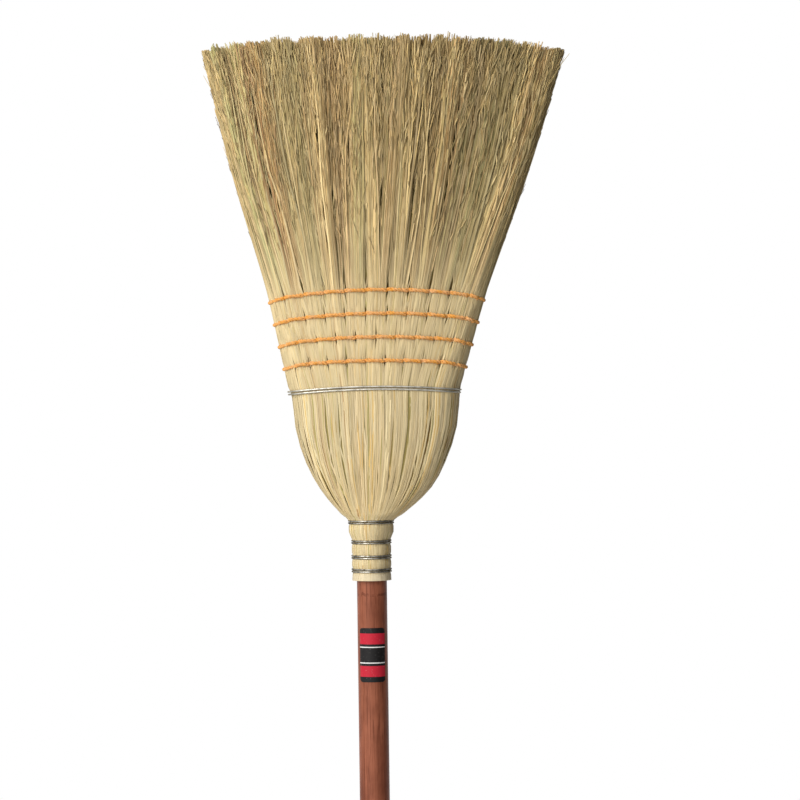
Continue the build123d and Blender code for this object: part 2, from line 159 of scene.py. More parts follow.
class SweepSizes(PropertyGroup):
    """Outline of the sweep. Heights are measured up from the collar."""

    collar: length("Collar", "Height of the collar above the handle's end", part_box("front_hurl_corn")[0].z)
    neck_radius: length("Neck radius", "Radius of the corn in the neck", 0.0156)
    neck_flare: length("Neck flare", "Growth of that radius under the top of the winding", 0.0025)
    neck_straight: length("Neck straight", "Height where the neck starts to flare", 0.034)
    neck_flared: length("Neck flared", "Height where the flare ends", 0.046)
    neck_height: length("Neck height", "Height where the shoulders start", 0.052)
    neck_bands: four_lengths("Neck bands", "Heights of its wire bands", (0.0085, 0.0199, 0.0326, 0.0495))
    shoulder_height: length("Shoulder height", "Height where the shoulders end", 0.152)
    shoulder_width: length("Shoulder width", "Width there", 0.140)
    shoulder_depth: length("Shoulder depth", "Depth there", 0.054)
    shoulder_fullness: share("Shoulder fullness", "Less makes rounder shoulders", 0.8)
    stitched_height: length("Stitched height", "Height of the top row at the sweep's sides", 0.2388)
    stitched_width: length("Stitched width", "Width there", 0.182)
    stitched_depth: length("Stitched depth", "Depth there", 0.050)
    fan_bulge: length("Fan bulge", "Outward bow of the sides between the stitching and the tips", 0.0026)
    tip_height: length("Tip height", "Height of the trimmed tips", 0.4565)
    tip_width: length("Tip width", "Width at the tips", 0.312)
    tip_depth: length("Tip depth", "Depth at the tips", 0.072)
    tip_crown: length("Tip crown", "Drop of the trimmed edge at its two corners", 0.0095)
    tip_tilt: length("Tip tilt", "Fall of the trimmed edge from its middle to the right corner", 0.0016)
    lean: angle("Lean", "Lean of the sweep to one side of the handle", math.radians(2.3))
    shoulder_shift: length("Shoulder shift", "Greater fullness of the right shoulder", 0.0026)
    foot_fullness: share("Foot fullness", "Greater width of the right shoulder near its foot", 0.05)
    foot_height: length("Foot height", "Height where that width is greatest", 0.077)
    foot_reach: length("Foot reach", "Height over which it fades", 0.018)
    oval_joint: angle("Oval joint", "Turn of a section's face arc to each side", math.radians(12.0))
    tip_joint: angle("Tip joint", "The same at the tips, where the edges are sharper", math.radians(17.0))
    open_share: share("Open share", "Share of a quarter section's straw on its face at the tips", 0.71)
    band_height: length("Wire band height", "Height of the wire band", 0.1626)
    band_drop: length("Wire band drop", "Drop of the wire band towards the sides", 0.0021)
    row_drop: length("Row drop", "Drop of the lowest row from its middle to the end of a face", 0.0024)
    row_drop_step: length("Row drop step", "Greater drop of each row above it", 0.001)
    edge_dip: length("Edge dip", "Further dip of a row round the edge of the sweep", 0.0038)
    stitch_pitch: length("Stitch pitch", "Distance between two stitches", 0.0152)
    edge_margin: length("Edge margin", "Least distance from a stitch to the edge", 0.012)


class StrawSizes(PropertyGroup):
    """Counts and sizes of the straw."""

    seed: count("Seed", "Seed of the scatter", 11)
    laid_softness: plain("Laid softness", "How far the normals of the laid stalks lean outward", 1.3)
    loose_softness: plain("Loose softness", "The same for the loose straw of the brush", 2.0)
    inner_softness: plain("Inner softness", "The same for the straw inside the sweep", 0.4)
    stalks: count("Stalks", "Stalks on each face that run from the collar", 600)
    stalk_radius: length("Stalk radius", "Middle radius of a stalk at the shoulder", 0.00069)
    stalk_flat: share("Stalk flatness", "Thickness of a stalk as a share of its width", 0.5)
    bristles: count("Bristles", "Bristles in the outer layer of each face", 2000)
    bristle_radius: length("Bristle radius", "Middle radius of a bristle above the sewing", 0.00050)
    shoulder_bristles: count("Shoulder bristles", "Bristles in each half of the middle layer", 1000)
    core_bristles: count("Core bristles", "Bristles in the core", 2000)
    twigs: count("Twigs", "Fine side twigs on each face", 3000)
    chaff: count("Chaff", "Short ends and husks on each face", 3400)
    chaff_radius: length("Chaff radius", "Middle radius of a short end", 0.00040)
    twig_radius: length("Twig radius", "Radius of a twig where it leaves its bristle", 0.00030)
    fans: count("Fans", "Clumps that the stalks of a face make above the neck", 44)
    slits: count("Slits", "Slits that open in the brush of a face", 60)
    partings: count("Partings", "Long slits there, which part all its straw", 26)
    fine_slits: count("Fine slits", "Fine slits that open in the shoulder of a face", 60)
    bold_slits: count("Bold slits", "Bold slits there, most of them near the sides", 22)
    leading: share("Leading", "Share of the stalks that lie on top of the brush", 0.10)
    clumps: count("Clumps", "Clumps that the bristles of a face gather in", 30)
    wisps: count("Wisps", "Thinner wisps that they gather in as well", 120)
    clump_lean: share("Clump lean", "Usual lean of a clump, as a share of half a face", 0.014)
    clump_depth: length("Clump depth", "Usual depth of a clump at the tips", 0.0026)
    ragged: length("Ragged edge", "Usual shortfall of a bristle at the trimmed edge", 0.0019)
    tip_tufts: length("Tip tufts", "Height of the tufts along the trimmed edge", 0.0045)
    tie_bulge: length("Bulge between ties", "Rise of the straw between two ties", 0.0006)
    neck_bulge: length("Neck bulge", "Rise of the straw between two bands of the neck", 0.0021)
    tie_reach: length("Reach of a tie", "Height over which a tie draws the straw in", 0.0045)
    tuft_gap: share("Tuft gap", "Share of a stitch's width that a row draws clear of straw", 0.22)
    tuft_reach: length("Tuft reach", "Height over which the tufts close again", 0.0075)
    tuft_release: length("Tuft release", "The same above the top row", 0.026)
    tuft_crown: length("Tuft crown", "Roundness of a tuft under its row", 0.0012)


class StrawColours(PropertyGroup):
    """Colours of the straw."""

    cream: colour("Cream", "Peeled stalks", (0.73, 0.595, 0.345))
    straw: colour("Straw", "Ripe stalks", (0.69, 0.54, 0.29))
    tan: colour("Tan", "Seed ends", (0.615, 0.408, 0.145))
    olive: colour("Olive", "Stalks cut green", (0.455, 0.378, 0.125))
    russet: colour("Russet", "Weathered stalks", (0.36, 0.178, 0.055))
    collar: colour("Collar", "Trimmed ends at the collar", (0.78, 0.67, 0.48))
    shade: colour("Shade", "Dust and shade deep in the bundle", (0.155, 0.085, 0.020))


class SewingSizes(PropertyGroup):
    """Twine of the sewn rows."""

    band: length("Laid twine", "Diameter of the twine laid round the sweep", 0.0029)
    twine: length("Sewn twine", "Diameter of the twine sewn over it", 0.0019)
    plies: count("Plies", "Plies twisted into the twine", 2)
    lay: length("Lay", "Length of one full twist", 0.0062)
    proud: length("Proud", "Distance of a laid twine's middle above the straw", 0.0006)
    pull: length("Pull", "Depth that a stitch pulls the laid twine in", 0.0022)
    pull_reach: share("Pull reach", "Share of a stitch over which it does so", 0.11)
    tuck: share("Tuck", "Share of a stitch between the two ends of a laid twine", 0.06)
    slant: length("Slant", "Height of a sewn thread above its band where it comes out", 0.0010)
    dive: share("Dive", "Share of a stitch where the thread goes under at each of its ends", 0.20)
    bite: length("Bite", "Depth at which a thread is lost in the straw", 0.004)
    dye: colour("Dye", "Colour of the twine", (0.80, 0.355, 0.06))


class FinishSettings(PropertyGroup):
    """Finishes of the wood, wire and label."""

    stain: colour("Stain", "Lit colour of the stained wood", (0.352, 0.117, 0.062))
    stain_dark: colour("Dark stain", "Stain where the pores hold it", (0.15, 0.042, 0.021))
    zinc: colour("Zinc", "Galvanised wire of the band", (0.55, 0.52, 0.45))
    zinc_dull: colour("Dull zinc", "Tarnish on that wire", (0.30, 0.28, 0.23))
    zinc_roughness: share("Zinc roughness", "Roughness of that wire where it is bright", 0.40)
    steel: colour("Steel", "Bare wire of the windings", (0.42, 0.395, 0.34))
    steel_dull: colour("Dull steel", "Tarnish on that wire", (0.085, 0.072, 0.050))
    steel_roughness: share("Steel roughness", "Roughness of that wire where it is bright", 0.26)
    film: colour("Film", "Ground of the label", (0.012, 0.011, 0.011))
    film_band: colour("Film band", "Bands on the label", (0.50, 0.02, 0.038))
    film_line: colour("Film line", "Fine lines on the label", (0.75, 0.73, 0.70))


class StageSettings(PropertyGroup):
    """Camera, light, floor and card."""

    picture: count("Picture", "Side of the picture, in pixels", 800)
    pixel: length("Pixel", "Width that one pixel covers at the handle", 0.000847)
    collar_column: plain("Collar column", "Pixel column of the collar", 371.9)
    collar_row: plain("Collar row", "Pixel row of the collar", 580.0)
    roll: angle("Roll", "Roll of the camera", math.radians(0.78))
    distance: length("Distance", "Distance of the camera", 2.5)
    lit_height: length("Lit height", "Height above the collar that the lamps face", 0.15)
    key_place: point("Key place", "Place of the main lamp", (-1.8, -2.3, 2.5))
    key_size: length("Key size", "Side of the main lamp", 3.0)
    key_power: watts("Key power", "Power of the main lamp", 147.0)
    fill_place: point("Fill place", "Place of the lamp behind", (-0.6, 2.6, 2.2))
    fill_size: length("Fill size", "Side of the lamp behind", 1.8)
    fill_power: watts("Fill power", "Power of the lamp behind", 45.0)
    ambient: share("Ambient", "Brightness of the light from all round", 0.18)
    floor: colour("Floor", "Colour of the floor", (0.86, 0.86, 0.86))
    floor_half: length("Floor half", "Half the side of the floor", 2.4)
    card: colour("Card", "Colour of the dark card at the shaded side", (0.03, 0.03, 0.03))
    card_half: two_lengths("Card half", "Half the width and height of the card", (0.9, 1.0))
    card_place: two_lengths("Card place", "Place of the card beside the handle", (0.9, -0.34))


class BroomSettings(PropertyGroup):
    """All settings of the broom."""

    sweep: PointerProperty(type=SweepSizes)
    straw: PointerProperty(type=StrawSizes)
    straw_colours: PointerProperty(type=StrawColours)
    sewing: PointerProperty(type=SewingSizes)
    finish: PointerProperty(type=FinishSettings)
    stage: PointerProperty(type=StageSettings)


# Shader maths


class Shade:
    """A socket of a node tree. Arithmetic on it adds Math nodes, and node() adds any other node."""

    def __init__(self, tree, socket=None):
        self.tree = tree
        self.socket = socket

    def node(self, kind, settings=None, inputs=None, output=0):
        """Adds a node, sets it up, feeds its inputs and returns one of its outputs."""
        made = self.tree.nodes.new(kind)
        for name, value in (settings or {}).items():
            if name == "stops":
                set_stops(made.color_ramp.elements, value)
            else:
                setattr(made, name, value)
        self.feed(made, inputs or {})
        return Shade(self.tree, made.outputs[output])

    def feed(self, node, inputs):
        """Links or sets the inputs of a node."""
        for name, value in inputs.items():
            if isinstance(value, Shade):
                self.tree.links.new(value.socket, node.inputs[name])
            else:
                node.inputs[name].default_value = value

    def math(self, operation, *values, clamp=False):
        """Adds a Math node."""
        settings = {"operation": operation, "use_clamp": clamp}
        return self.node("ShaderNodeMath", settings, dict(enumerate(values)))

    def __add__(self, other):
        return self.math("ADD", self, other)

    __radd__ = __add__

    def __sub__(self, other):
        return self.math("SUBTRACT", self, other)

    def __rsub__(self, other):
        return self.math("SUBTRACT", other, self)

    def __mul__(self, other):
        return self.math("MULTIPLY", self, other)

    __rmul__ = __mul__

    def between(self, low, high):
        """1 where the value lies between two others, and 0 elsewhere."""
        return self.math("GREATER_THAN", self, low) - self.math("GREATER_THAN", self, high)

    def clamped(self):
        """The value held between 0 and 1."""
        return self.math("ADD", self, 0.0, clamp=True)

    def mixed(self, one, two):
        """Colour mixed from one to two by this value."""
        settings = {"data_type": "RGBA", "blend_type": "MIX", "clamp_factor": True}
        return self.node("ShaderNodeMix", settings, {0: self, 6: solid(one), 7: solid(two)}, output=2)

    def ramp(self, start, end):
        """Number read from a ramp between two stops, each a place and a level."""
        return self.node("ShaderNodeValToRGB", {"stops": (start, end)}, {0: self})

    def bump(self, distance, strength):
        """Normal roughened by this height."""
        inputs = {"Height": self, "Distance": distance, "Strength": strength}
        return self.node("ShaderNodeBump", inputs=inputs)

    def place(self):
        """Place in the object's own frame."""
        return self.node("ShaderNodeTexCoord", output=3)

    def level(self):
        """Height in the object's own frame."""
        return self.node("ShaderNodeSeparateXYZ", inputs={0: self.place()}, output=2)

    def noise(self, across, along, detail, roughness=0.55):
        """Noise over the object, with one scale across the broom and another along it."""
        scale = (across, across, along)
        inputs = {0: self.place(), 1: scale}
        stretched = self.node("ShaderNodeVectorMath", {"operation": "MULTIPLY"}, inputs)
        inputs = {"Vector": stretched, "Scale": 1.0, "Detail": detail, "Roughness": roughness}
        return self.node("ShaderNodeTexNoise", inputs=inputs)


def set_stops(elements, stops):
    """Gives a colour ramp its two stops, as places and levels of grey."""
    for element, (place, level) in zip(elements, stops):
        element.position = place
        element.color = (level, level, level, 1.0)


def solid(value):
    """A socket as it is, or a colour with its alpha."""
    return value if isinstance(value, Shade) else (*value[:3], 1.0)


def finish_material(name, make):
    """Material whose surface takes the inputs that make(shade) returns."""
    material = bpy.data.materials.new(name)
    material.use_nodes = True
    shade = Shade(material.node_tree)
    shade.feed(material.node_tree.nodes["Principled BSDF"], make(shade))
    return material


def plain_material(name, base, roughness):
    """Material of one colour and one roughness."""
    return finish_material(name, lambda shade: {"Base Color": solid(base), "Roughness": roughness})


def straw_material(colours, sewn_top):
    """Straw: each stalk's own colour, streaked along its length and mottled in the brush."""

    def make(shade):
        own = shade.node("ShaderNodeAttribute", {"attribute_name": "straw"})
        upper = ((shade.level() - sewn_top) * (1 / MOTTLE_REACH)).clamped()
        streak = shade.noise(2600, 130, 2.0)
        joint = shade.noise(420, 46, 3.0)
        mottle = shade.noise(260, 60, 2.0)
        darker = streak.ramp((0.30, 1.0), (0.62, 0.0)) * 0.07 + joint.ramp((0.32, 1.0), (0.5, 0.0)) * 0.08
        darker = darker + mottle.ramp((0.34, 1.0), (0.56, 0.0)) * upper * 0.20
        paler = mottle.ramp((0.52, 0.0), (0.72, 1.0)) * upper * 0.14
        return {
            "Base Color": paler.mixed(darker.mixed(own, colours.shade), colours.cream),
            "Roughness": 0.5 + streak * 0.2,
            "Normal": (streak + mottle * upper).bump(0.0002, 0.35),
            "Specular IOR Level": 0.22,
        }

    return finish_material("straw", make)


def twine_material(dye):
    """Dyed twine: a matt, fibrous thread, paler where it is worn."""

    def make(shade):
        fibre = shade.noise(1900, 3200, 3.0)
        patch = shade.noise(160, 160, 2.0)
        dark = [channel * 0.62 for channel in dye]
        pale = [channel + (0.85 - channel) * 0.16 for channel in dye]
        body = patch.ramp((0.35, 0.0), (0.7, 1.0)).mixed(dye, pale)
        return {
            "Base Color": (fibre.ramp((0.3, 1.0), (0.55, 0.0)) * 0.6).mixed(body, dark),
            "Roughness": 0.6 + fibre * 0.25,
            "Normal": fibre.bump(0.00025, 0.6),
            "Specular IOR Level": 0.3,
        }

    return finish_material("dyed_twine", make)


def wire_material(name, bright, dull, roughness):
    """Wire: metal with duller patches and drawing marks."""

    def make(shade):
        scratch = shade.noise(900, 2600, 2.0)
        tarnish = shade.noise(240, 420, 4.0).ramp((0.42, 0.0), (0.64, 1.0))
        return {
            "Base Color": (tarnish * 0.9).mixed(bright, dull),
            "Metallic": 1.0,
            "Roughness": roughness + tarnish * 0.18 + scratch * 0.06,
            "Normal": scratch.bump(0.0001, 0.3),
            "Specular Tint": solid(dull),
        }

    return finish_material(name, make)


def wood_material(stain, stain_dark, collar):
    """Stained dowel: straight grain and pores along its length, darker further down, under a satin lacquer.
    """

    def make(shade):
        grain = shade.noise(210, 5.5, 5.0, roughness=0.6)
        figure = grain.ramp((0.32, 1.0), (0.68, 0.0))
        pores = shade.noise(1500, 34, 3.0).ramp((0.28, 1.0), (0.46, 0.0))
        cloud = shade.noise(36, 7, 2.0).ramp((0.3, 0.5), (0.7, 0.0))
        blotch = shade.noise(70, 40, 3.0)
        below = collar - shade.level()
        darker_below = (below * 4.0).clamped() * 0.3
        edge = shade.noise(150, 80, 3.0)
        rim = (below + edge * 0.008).between(0.0150, 0.0175) * edge.ramp((0.42, 0.0), (0.56, 0.5))
        bare = (1 - (below * 80.0).clamped()) * (0.5 - grain) * 1.6
        tone = figure * 0.42 + pores * 1.3 + cloud * 0.6 + (blotch - 0.5) * 1.5 + darker_below + rim + bare
        return {
            "Base Color": tone.clamped().mixed(stain, stain_dark),
            "Roughness": 0.42 + pores * 0.2,
            "Normal": (grain * 0.4 - pores).bump(0.00012, 0.35),
            "Specular IOR Level": 0.14,
            "Coat Weight": 0.03,
            "Coat Roughness": 0.3,
        }

    return finish_material("stained_wood", make)


def label_material(ground, band, line, low, high):
    """Label film: dark, with two plain bands across it and a fine line beside each."""

    def make(shade):
        risen = (shade.level() - low) * (1 / (high - low))
        bands = risen.between(0.10, 0.30) + risen.between(0.70, 0.90)
        lines = risen.between(0.345, 0.365) + risen.between(0.635, 0.655)
        wear = shade.noise(900, 700, 4.0)
        scuffed = wear.ramp((0.64, 0.0), (0.8, 1.0)) * 0.35
        return {
            "Base Color": scuffed.mixed(lines.mixed(bands.mixed(ground, band), line), line),
            "Roughness": 0.3 + wear * 0.16,
            "Normal": wear.bump(0.00006, 0.25),
            "Specular IOR Level": 0.15,
        }

    return finish_material("label_film", make)


# Shape of the sweep


def rising(value, start, reach):
    """0 up to a start, and from there evenly to 1 over a reach."""
    return np.clip((value - start) / reach, 0, 1)


def half_size(sweep, height, at_shoulder, at_stitching, at_tips):
    """Half the width or depth of the sweep at heights above the collar."""
    neck_top = sweep.neck_radius + sweep.neck_flare
    flared = rising(height, sweep.neck_straight, sweep.neck_flared - sweep.neck_straight)
    neck = sweep.neck_radius + sweep.neck_flare * flared
    risen = rising(height, sweep.neck_height, sweep.shoulder_height - sweep.neck_height)
    swell = (1 - (1 - risen) ** 2) ** sweep.shoulder_fullness
    shoulder = neck_top + (at_shoulder / 2 - neck_top) * swell
    stations = (sweep.shoulder_height, sweep.stitched_height, sweep.tip_height)
    fan = np.interp(height, stations, (at_shoulder / 2, at_stitching / 2, at_tips / 2))
    above_neck = np.where(height < sweep.shoulder_height, shoulder, fan)
    return np.where(height < sweep.neck_height, neck, above_neck)


def fanned_out(sweep, height):
    """How far heights lie from the sewing, at 0, to the tips, at 1."""
    return rising(height, sweep.stitched_height, sweep.tip_height - sweep.stitched_height)


def half_width(sweep, height):
    """Half the width of the sweep at heights, with the bow of its fan."""
    bow = sweep.fan_bulge * np.sin(math.pi * fanned_out(sweep, height)) ** 2
    return bow + half_size(sweep, height, sweep.shoulder_width, sweep.stitched_width, sweep.tip_width)


def half_depth(sweep, height):
    """Half the depth of the sweep at heights."""
    return half_size(sweep, height, sweep.shoulder_depth, sweep.stitched_depth, sweep.tip_depth)


def face_turn(sweep, height):
    """Turn of the face arc of the oval section at heights, on each side of its middle."""
    return sweep.oval_joint + (sweep.tip_joint - sweep.oval_joint) * fanned_out(sweep, height)


def oval_arcs(sweep, height):
    """Side radius of the oval section at heights, and how much larger its face radius is."""
    width, depth = half_width(sweep, height), half_depth(sweep, height)
    turn = face_turn(sweep, height)
    apart = (width - depth) / (np.sin(turn) + np.cos(turn) - 1)
    return depth - apart * (1 - np.cos(turn)), apart


def face_share(sweep, height):
    """Share of a quarter section's straw on its face. Above the sewing more of it comes there."""
    side, apart = oval_arcs(sweep, np.minimum(height, sweep.band_height))
    on_face = (side + apart) * sweep.oval_joint
    held = on_face / (on_face + side * (math.pi / 2 - sweep.oval_joint))
    return held + (sweep.open_share - held) * fanned_out(sweep, height)


def middle(sweep, height):
    """Sideways place of the sweep's middle: it leans, and its right shoulder is the fuller one."""
    risen = rising(height, sweep.neck_height, sweep.band_height - sweep.neck_height)
    lean = math.tan(sweep.lean) * np.maximum(height - sweep.neck_height, 0)
    return lean + sweep.shoulder_shift * np.sqrt(4 * risen * (1 - risen))


def skin_turn(sweep, height, across):
    """Angle that the skin faces to the side: 0 in the middle of a face, a right angle at its edges."""
    on_face = face_share(sweep, height)
    joint = face_turn(sweep, height)
    out = np.minimum(np.abs(across), 1.0)
    on_side = joint + (math.pi / 2 - joint) * (out - on_face) / (1 - on_face)
    return np.where(out < on_face, joint * out / on_face, on_side)


def facing(sweep, height, across, way, loose=1.0):
    """Level ways that the skin faces. Loose straw is turned aside less, except at the very edge."""
    limit = LOOSE_TURN + (EDGE_TURN - LOOSE_TURN) * rising(np.abs(across), 0.8, 0.2)
    most = math.pi / 2 + (limit - math.pi / 2) * loose
    turn = np.where(across < 0, -1.0, 1.0) * np.minimum(skin_turn(sweep, height, across), most)
    return np.stack(np.broadcast_arrays(np.sin(turn), way * np.cos(turn), 0.0), -1)


def on_sweep(sweep, height, across, way, inset, slide=0.0):
    """Points on the sweep, in the frame.

    Across runs over a face from -1 at the left edge to 1 at the right edge, and the way is that of the
    face. The inset leads into the bundle and the slide sideways along its skin.
    """
    side, apart = oval_arcs(sweep, height)
    turn = face_turn(sweep, height)
    edge = np.where(across < 0, -1.0, 1.0)
    normal = skin_turn(sweep, height, across)
    flat = normal < turn
    x = np.where(flat, (side + apart) * np.sin(normal), apart * np.sin(turn) + side * np.sin(normal))
    depth = side + apart * (1 - np.cos(turn))
    y = np.where(flat, depth - (side + apart) * (1 - np.cos(normal)), side * np.cos(normal))
    at_foot = np.exp(-(((height - sweep.foot_height) / sweep.foot_reach) ** 2))
    x = x * (1 + np.where(across > 0, sweep.foot_fullness, 0) * at_foot)
    x = edge * (x - inset * np.sin(normal)) + slide * np.cos(normal)
    y = way * (y - inset * np.cos(normal) - slide * edge * np.sin(normal))
    return np.stack(np.broadcast_arrays(x + middle(sweep, height), y, sweep.collar + height), -1)


def arch(sweep, across, drop, dip=0.0):
    """Drop of a tie below its middle: it falls towards the ends of a face and dips round the edge."""
    end = face_share(sweep, sweep.band_height)
    out = np.abs(across)
    return drop * np.minimum(out / end, 1) ** 2 + dip * np.sin(math.pi / 2 * rising(out, end, 1 - end))


class Row:
    """One sewn row: the height of its middle, its drop towards the edges and its stitches."""

    def __init__(self, number, sweep):
        self.sweep = sweep
        self.number = number
        self.drop = sweep.row_drop + sweep.row_drop_step * (number - 1)
        self.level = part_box(f"stitch_band_{number}")[1].z - CAD_TWINE / 2 - sweep.collar
        side, apart = oval_arcs(sweep, np.array(self.level))
        on_face = float((side + apart) * sweep.oval_joint)
        quarter = on_face + float(side) * (math.pi / 2 - sweep.oval_joint)
        self.pitch = sweep.stitch_pitch / quarter
        on_solid = int((2 * on_face - 2 * STITCH_END_MARGIN) / sweep.stitch_pitch)
        spare = quarter - sweep.edge_margin - on_solid * sweep.stitch_pitch / 2
        self.tufts = on_solid + 2 * int(spare / sweep.stitch_pitch)

    def height(self, across):
        """Height of the row at places across a face."""
        return self.level - arch(self.sweep, across, self.drop, self.sweep.edge_dip)

    def stitch(self, number):
        """Place of a stitch across a face."""
        return self.pitch * (number - self.tufts / 2)

    def phase(self, across):
        """Places across a face, counted in stitches from the first one."""
        return across / self.pitch + self.tufts / 2


def tied(sweep, straw, height, across, rows):
    """How tightly the ties hold the straw: 1 under a tie, and 0 well away from any."""
    height, across = np.broadcast_arrays(height, across)
    away = [height - band for band in sweep.neck_bands]
    away.append(height - sweep.band_height + arch(sweep, across, sweep.band_drop))
    away += [height - row.height(across) for row in rows]
    return np.max([np.exp(-((far / straw.tie_reach) ** 2)) for far in away], axis=0)


def gathered(straw, height, across, rows):
    """Across places drawn together into tufts by the rows, and how far each is from its tuft's middle."""
    drawn = across
    crown = np.zeros(np.broadcast(height, across).shape)
    for row in rows:
        away = height - row.height(across)
        reach = np.where((away > 0) & (row is rows[-1]), straw.tuft_release, straw.tuft_reach)
        phase = row.phase(across)
        sewn = np.abs(phase - row.tufts / 2) < row.tufts / 2
        close = np.where(sewn, np.exp(-np.abs(away) / reach), 0)
        off = phase - np.floor(phase) - 0.5
        drawn = drawn - off * row.pitch * straw.tuft_gap * close
        crown = np.maximum(crown, (2 * off) ** 2 * close)
    return drawn, crown


def laid_straw(sweep, straw, height, across, way, inset, slide, rows):
    """Points of straw that runs up a face, gathered by the stitches and drawn in by the ties."""
    across, crown = gathered(straw, height, across, rows)
    in_neck = (1 - rising(height, sweep.neck_height, 0.008)) * rising(height, -0.004, 0.012)
    bulge = straw.tie_bulge + (straw.neck_bulge - straw.tie_bulge) * in_neck
    rise = bulge * (1 - tied(sweep, straw, height, across, rows))
    return on_sweep(sweep, height, across, way, inset - rise + straw.tuft_crown * crown, slide)


def sideways(sweep, across):
    """Places of the tips from -1 at the left side of the sweep to 1 at its right side."""
    top = np.array(sweep.tip_height)
    x = on_sweep(sweep, top, across, FRONT, 0.0)[..., 0]
    return (x - middle(sweep, top)) / half_width(sweep, top)


def trimmed(sweep, straw, out):
    """Height of the trimmed edge, with its tufts, at sideways places."""
    rng = np.random.default_rng([straw.seed, 8])
    waves = rng.uniform(18, 80, 7)
    tufts = np.sin(out[..., None] * waves + rng.uniform(0, TURN, 7)).mean(-1)
    return sweep.tip_height - sweep.tip_crown * out**4 - sweep.tip_tilt * out + straw.tip_tufts * tufts


def grown_out(sweep, rows, height):
    """How far heights lie from the top row, at 0, to the tips, at 1."""
    return rising(height, rows[-1].level, sweep.tip_height - rows[-1].level)


# Meshes of tubes


def straw_rings(points, radii, outward, phase, flat):
    """Rings of straws along rows of points, their normals and the outward ways.

    They are arrays of straws by steps by sides by 3. A flat below 1 thins the straws in the outward way.
    """
    along = np.gradient(points, axis=1)
    along /= np.linalg.norm(along, axis=-1, keepdims=True)
    out = outward - along * (outward * along).sum(-1, keepdims=True)
    out = (out / np.linalg.norm(out, axis=-1, keepdims=True))[:, :, None]
    across = np.cross(out[:, :, 0], along)[:, :, None]
    turns = (phase[:, None, None] + TURN * np.arange(STRAW_SIDES) / STRAW_SIDES)[..., None]
    ring = np.cos(turns) * across + flat * np.sin(turns) * out
    normals = flat * np.cos(turns) * across + np.sin(turns) * out
    return points[:, :, None] + radii[:, :, None, None] * ring, normals, out


def tube_faces(number, steps, sides):
    """Corners of the sides and of the two ends of closed tubes."""
    index = np.arange(number * steps * sides).reshape(number, steps, sides)
    low, high = index[:, :-1], index[:, 1:]
    walls = np.stack([low, np.roll(low, -1, 2), np.roll(high, -1, 2), high], -1).reshape(-1, 4)
    ends = np.concatenate([index[:, 0, ::-1], index[:, -1]])
    return walls, ends


def tube_map(number, steps, sides):
    """Places of the same corners on a flat map that gives each tube a strip of its own."""
    rows = max(1, round(math.sqrt(number / STRIP_SHAPE)))
    columns = math.ceil(number / rows)
    strip = np.arange(number)
    left = (strip % columns) / columns
    low = (strip // columns) / rows
    wide, tall = STRIP_WIDTH / columns, STRIP_HEIGHT / rows
    walls_share = 1 - 2 * STRIP_ENDS
    step = low[:, None] + tall * (STRIP_ENDS + walls_share * np.arange(steps) / (steps - 1))
    side = left[:, None] + wide * np.arange(sides + 1) / sides
    u = np.broadcast_to(side[:, None, :], (number, steps, sides + 1))
    v = np.broadcast_to(step[:, :, None], (number, steps, sides + 1))
    grid = np.stack([u, v], -1)
    walls = np.stack([grid[:, :-1, :-1], grid[:, :-1, 1:], grid[:, 1:, 1:], grid[:, 1:, :-1]], -2)
    bend = np.sin(math.pi * np.arange(sides) / (sides - 1)) * STRIP_BEND * tall
    foot = np.stack([side[:, :sides], step[:, :1] - bend], -1)[:, ::-1]
    head = np.stack([side[:, :sides], step[:, -1:] + bend], -1)
    return np.concatenate([part.reshape(-1, 2) for part in (walls, foot, head)])


def new_mesh(name, rings, colours=None):
    """Mesh of closed tubes, given by their rings, with a flat map and, for straw, its colours."""
    walls, ends = tube_faces(*rings.shape[:3])
    mesh = bpy.data.meshes.new(name)
    corners = np.concatenate([walls.ravel(), ends.ravel()])
    wall_starts = 4 * np.arange(len(walls))
    end_starts = walls.size + ends.shape[1] * np.arange(len(ends))
    starts = np.concatenate([wall_starts, end_starts])
    mesh.vertices.add(rings.size // 3)
    mesh.vertices.foreach_set("co", rings.astype(np.float32).ravel())
    mesh.loops.add(len(corners))
    mesh.loops.foreach_set("vertex_index", corners.astype(np.int32))
    mesh.polygons.add(len(starts))
    mesh.polygons.foreach_set("loop_start", starts.astype(np.int32))
    mesh.update(calc_edges=True)
    mesh.shade_smooth()
    layer = mesh.uv_layers.new(name="OFBake", do_init=False)
    layer.uv.foreach_set("vector", tube_map(*rings.shape[:3]).astype(np.float32).ravel())
    if colours is not None:
        attribute = mesh.color_attributes.new("straw", "FLOAT_COLOR", "POINT")
        opaque = np.concatenate([colours, np.ones((len(colours), 1))], 1)
        attribute.data.foreach_set("color", opaque.astype(np.float32).ravel())
    return mesh


def add_piece(name, mesh, material, slot, *nodes):
    """Object for a mesh, which rides on the broom and stands for CAD nodes."""
    mesh.materials.append(shared_material(material))
    piece = bpy.data.objects.new(name, mesh)
    bpy.context.scene.collection.objects.link(piece)
    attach(piece, BODY)
    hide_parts(*nodes)


def shared_material(name):
    """Material that several pieces share, made when it is first asked for."""
    if name in bpy.data.materials:
        return bpy.data.materials[name]
    settings = bpy.context.scene.broom
    if name == "straw":
        sewn_top = settings.sweep.collar + settings.sweep.stitched_height
        return straw_material(settings.straw_colours, sewn_top)
    return twine_material(settings.sewing.dye)


# Straw


def spread(rng, number, low=-1.0, high=1.0):
    """Numbers spread evenly between two limits, each a little off its place, in mixed order."""
    places = (np.arange(number) + rng.uniform(0, 1, number)) / number
    return rng.permutation(low + (high - low) * places)


def read_off(value, stations, amounts):
    """Amounts read between stations, for all the channels of a colour."""
    return np.interp(value, stations, amounts)[..., None]


def toward(one, two, amount):
    """Colours brought from one towards two by an amount."""
    return one + (np.array(two) - one) * amount


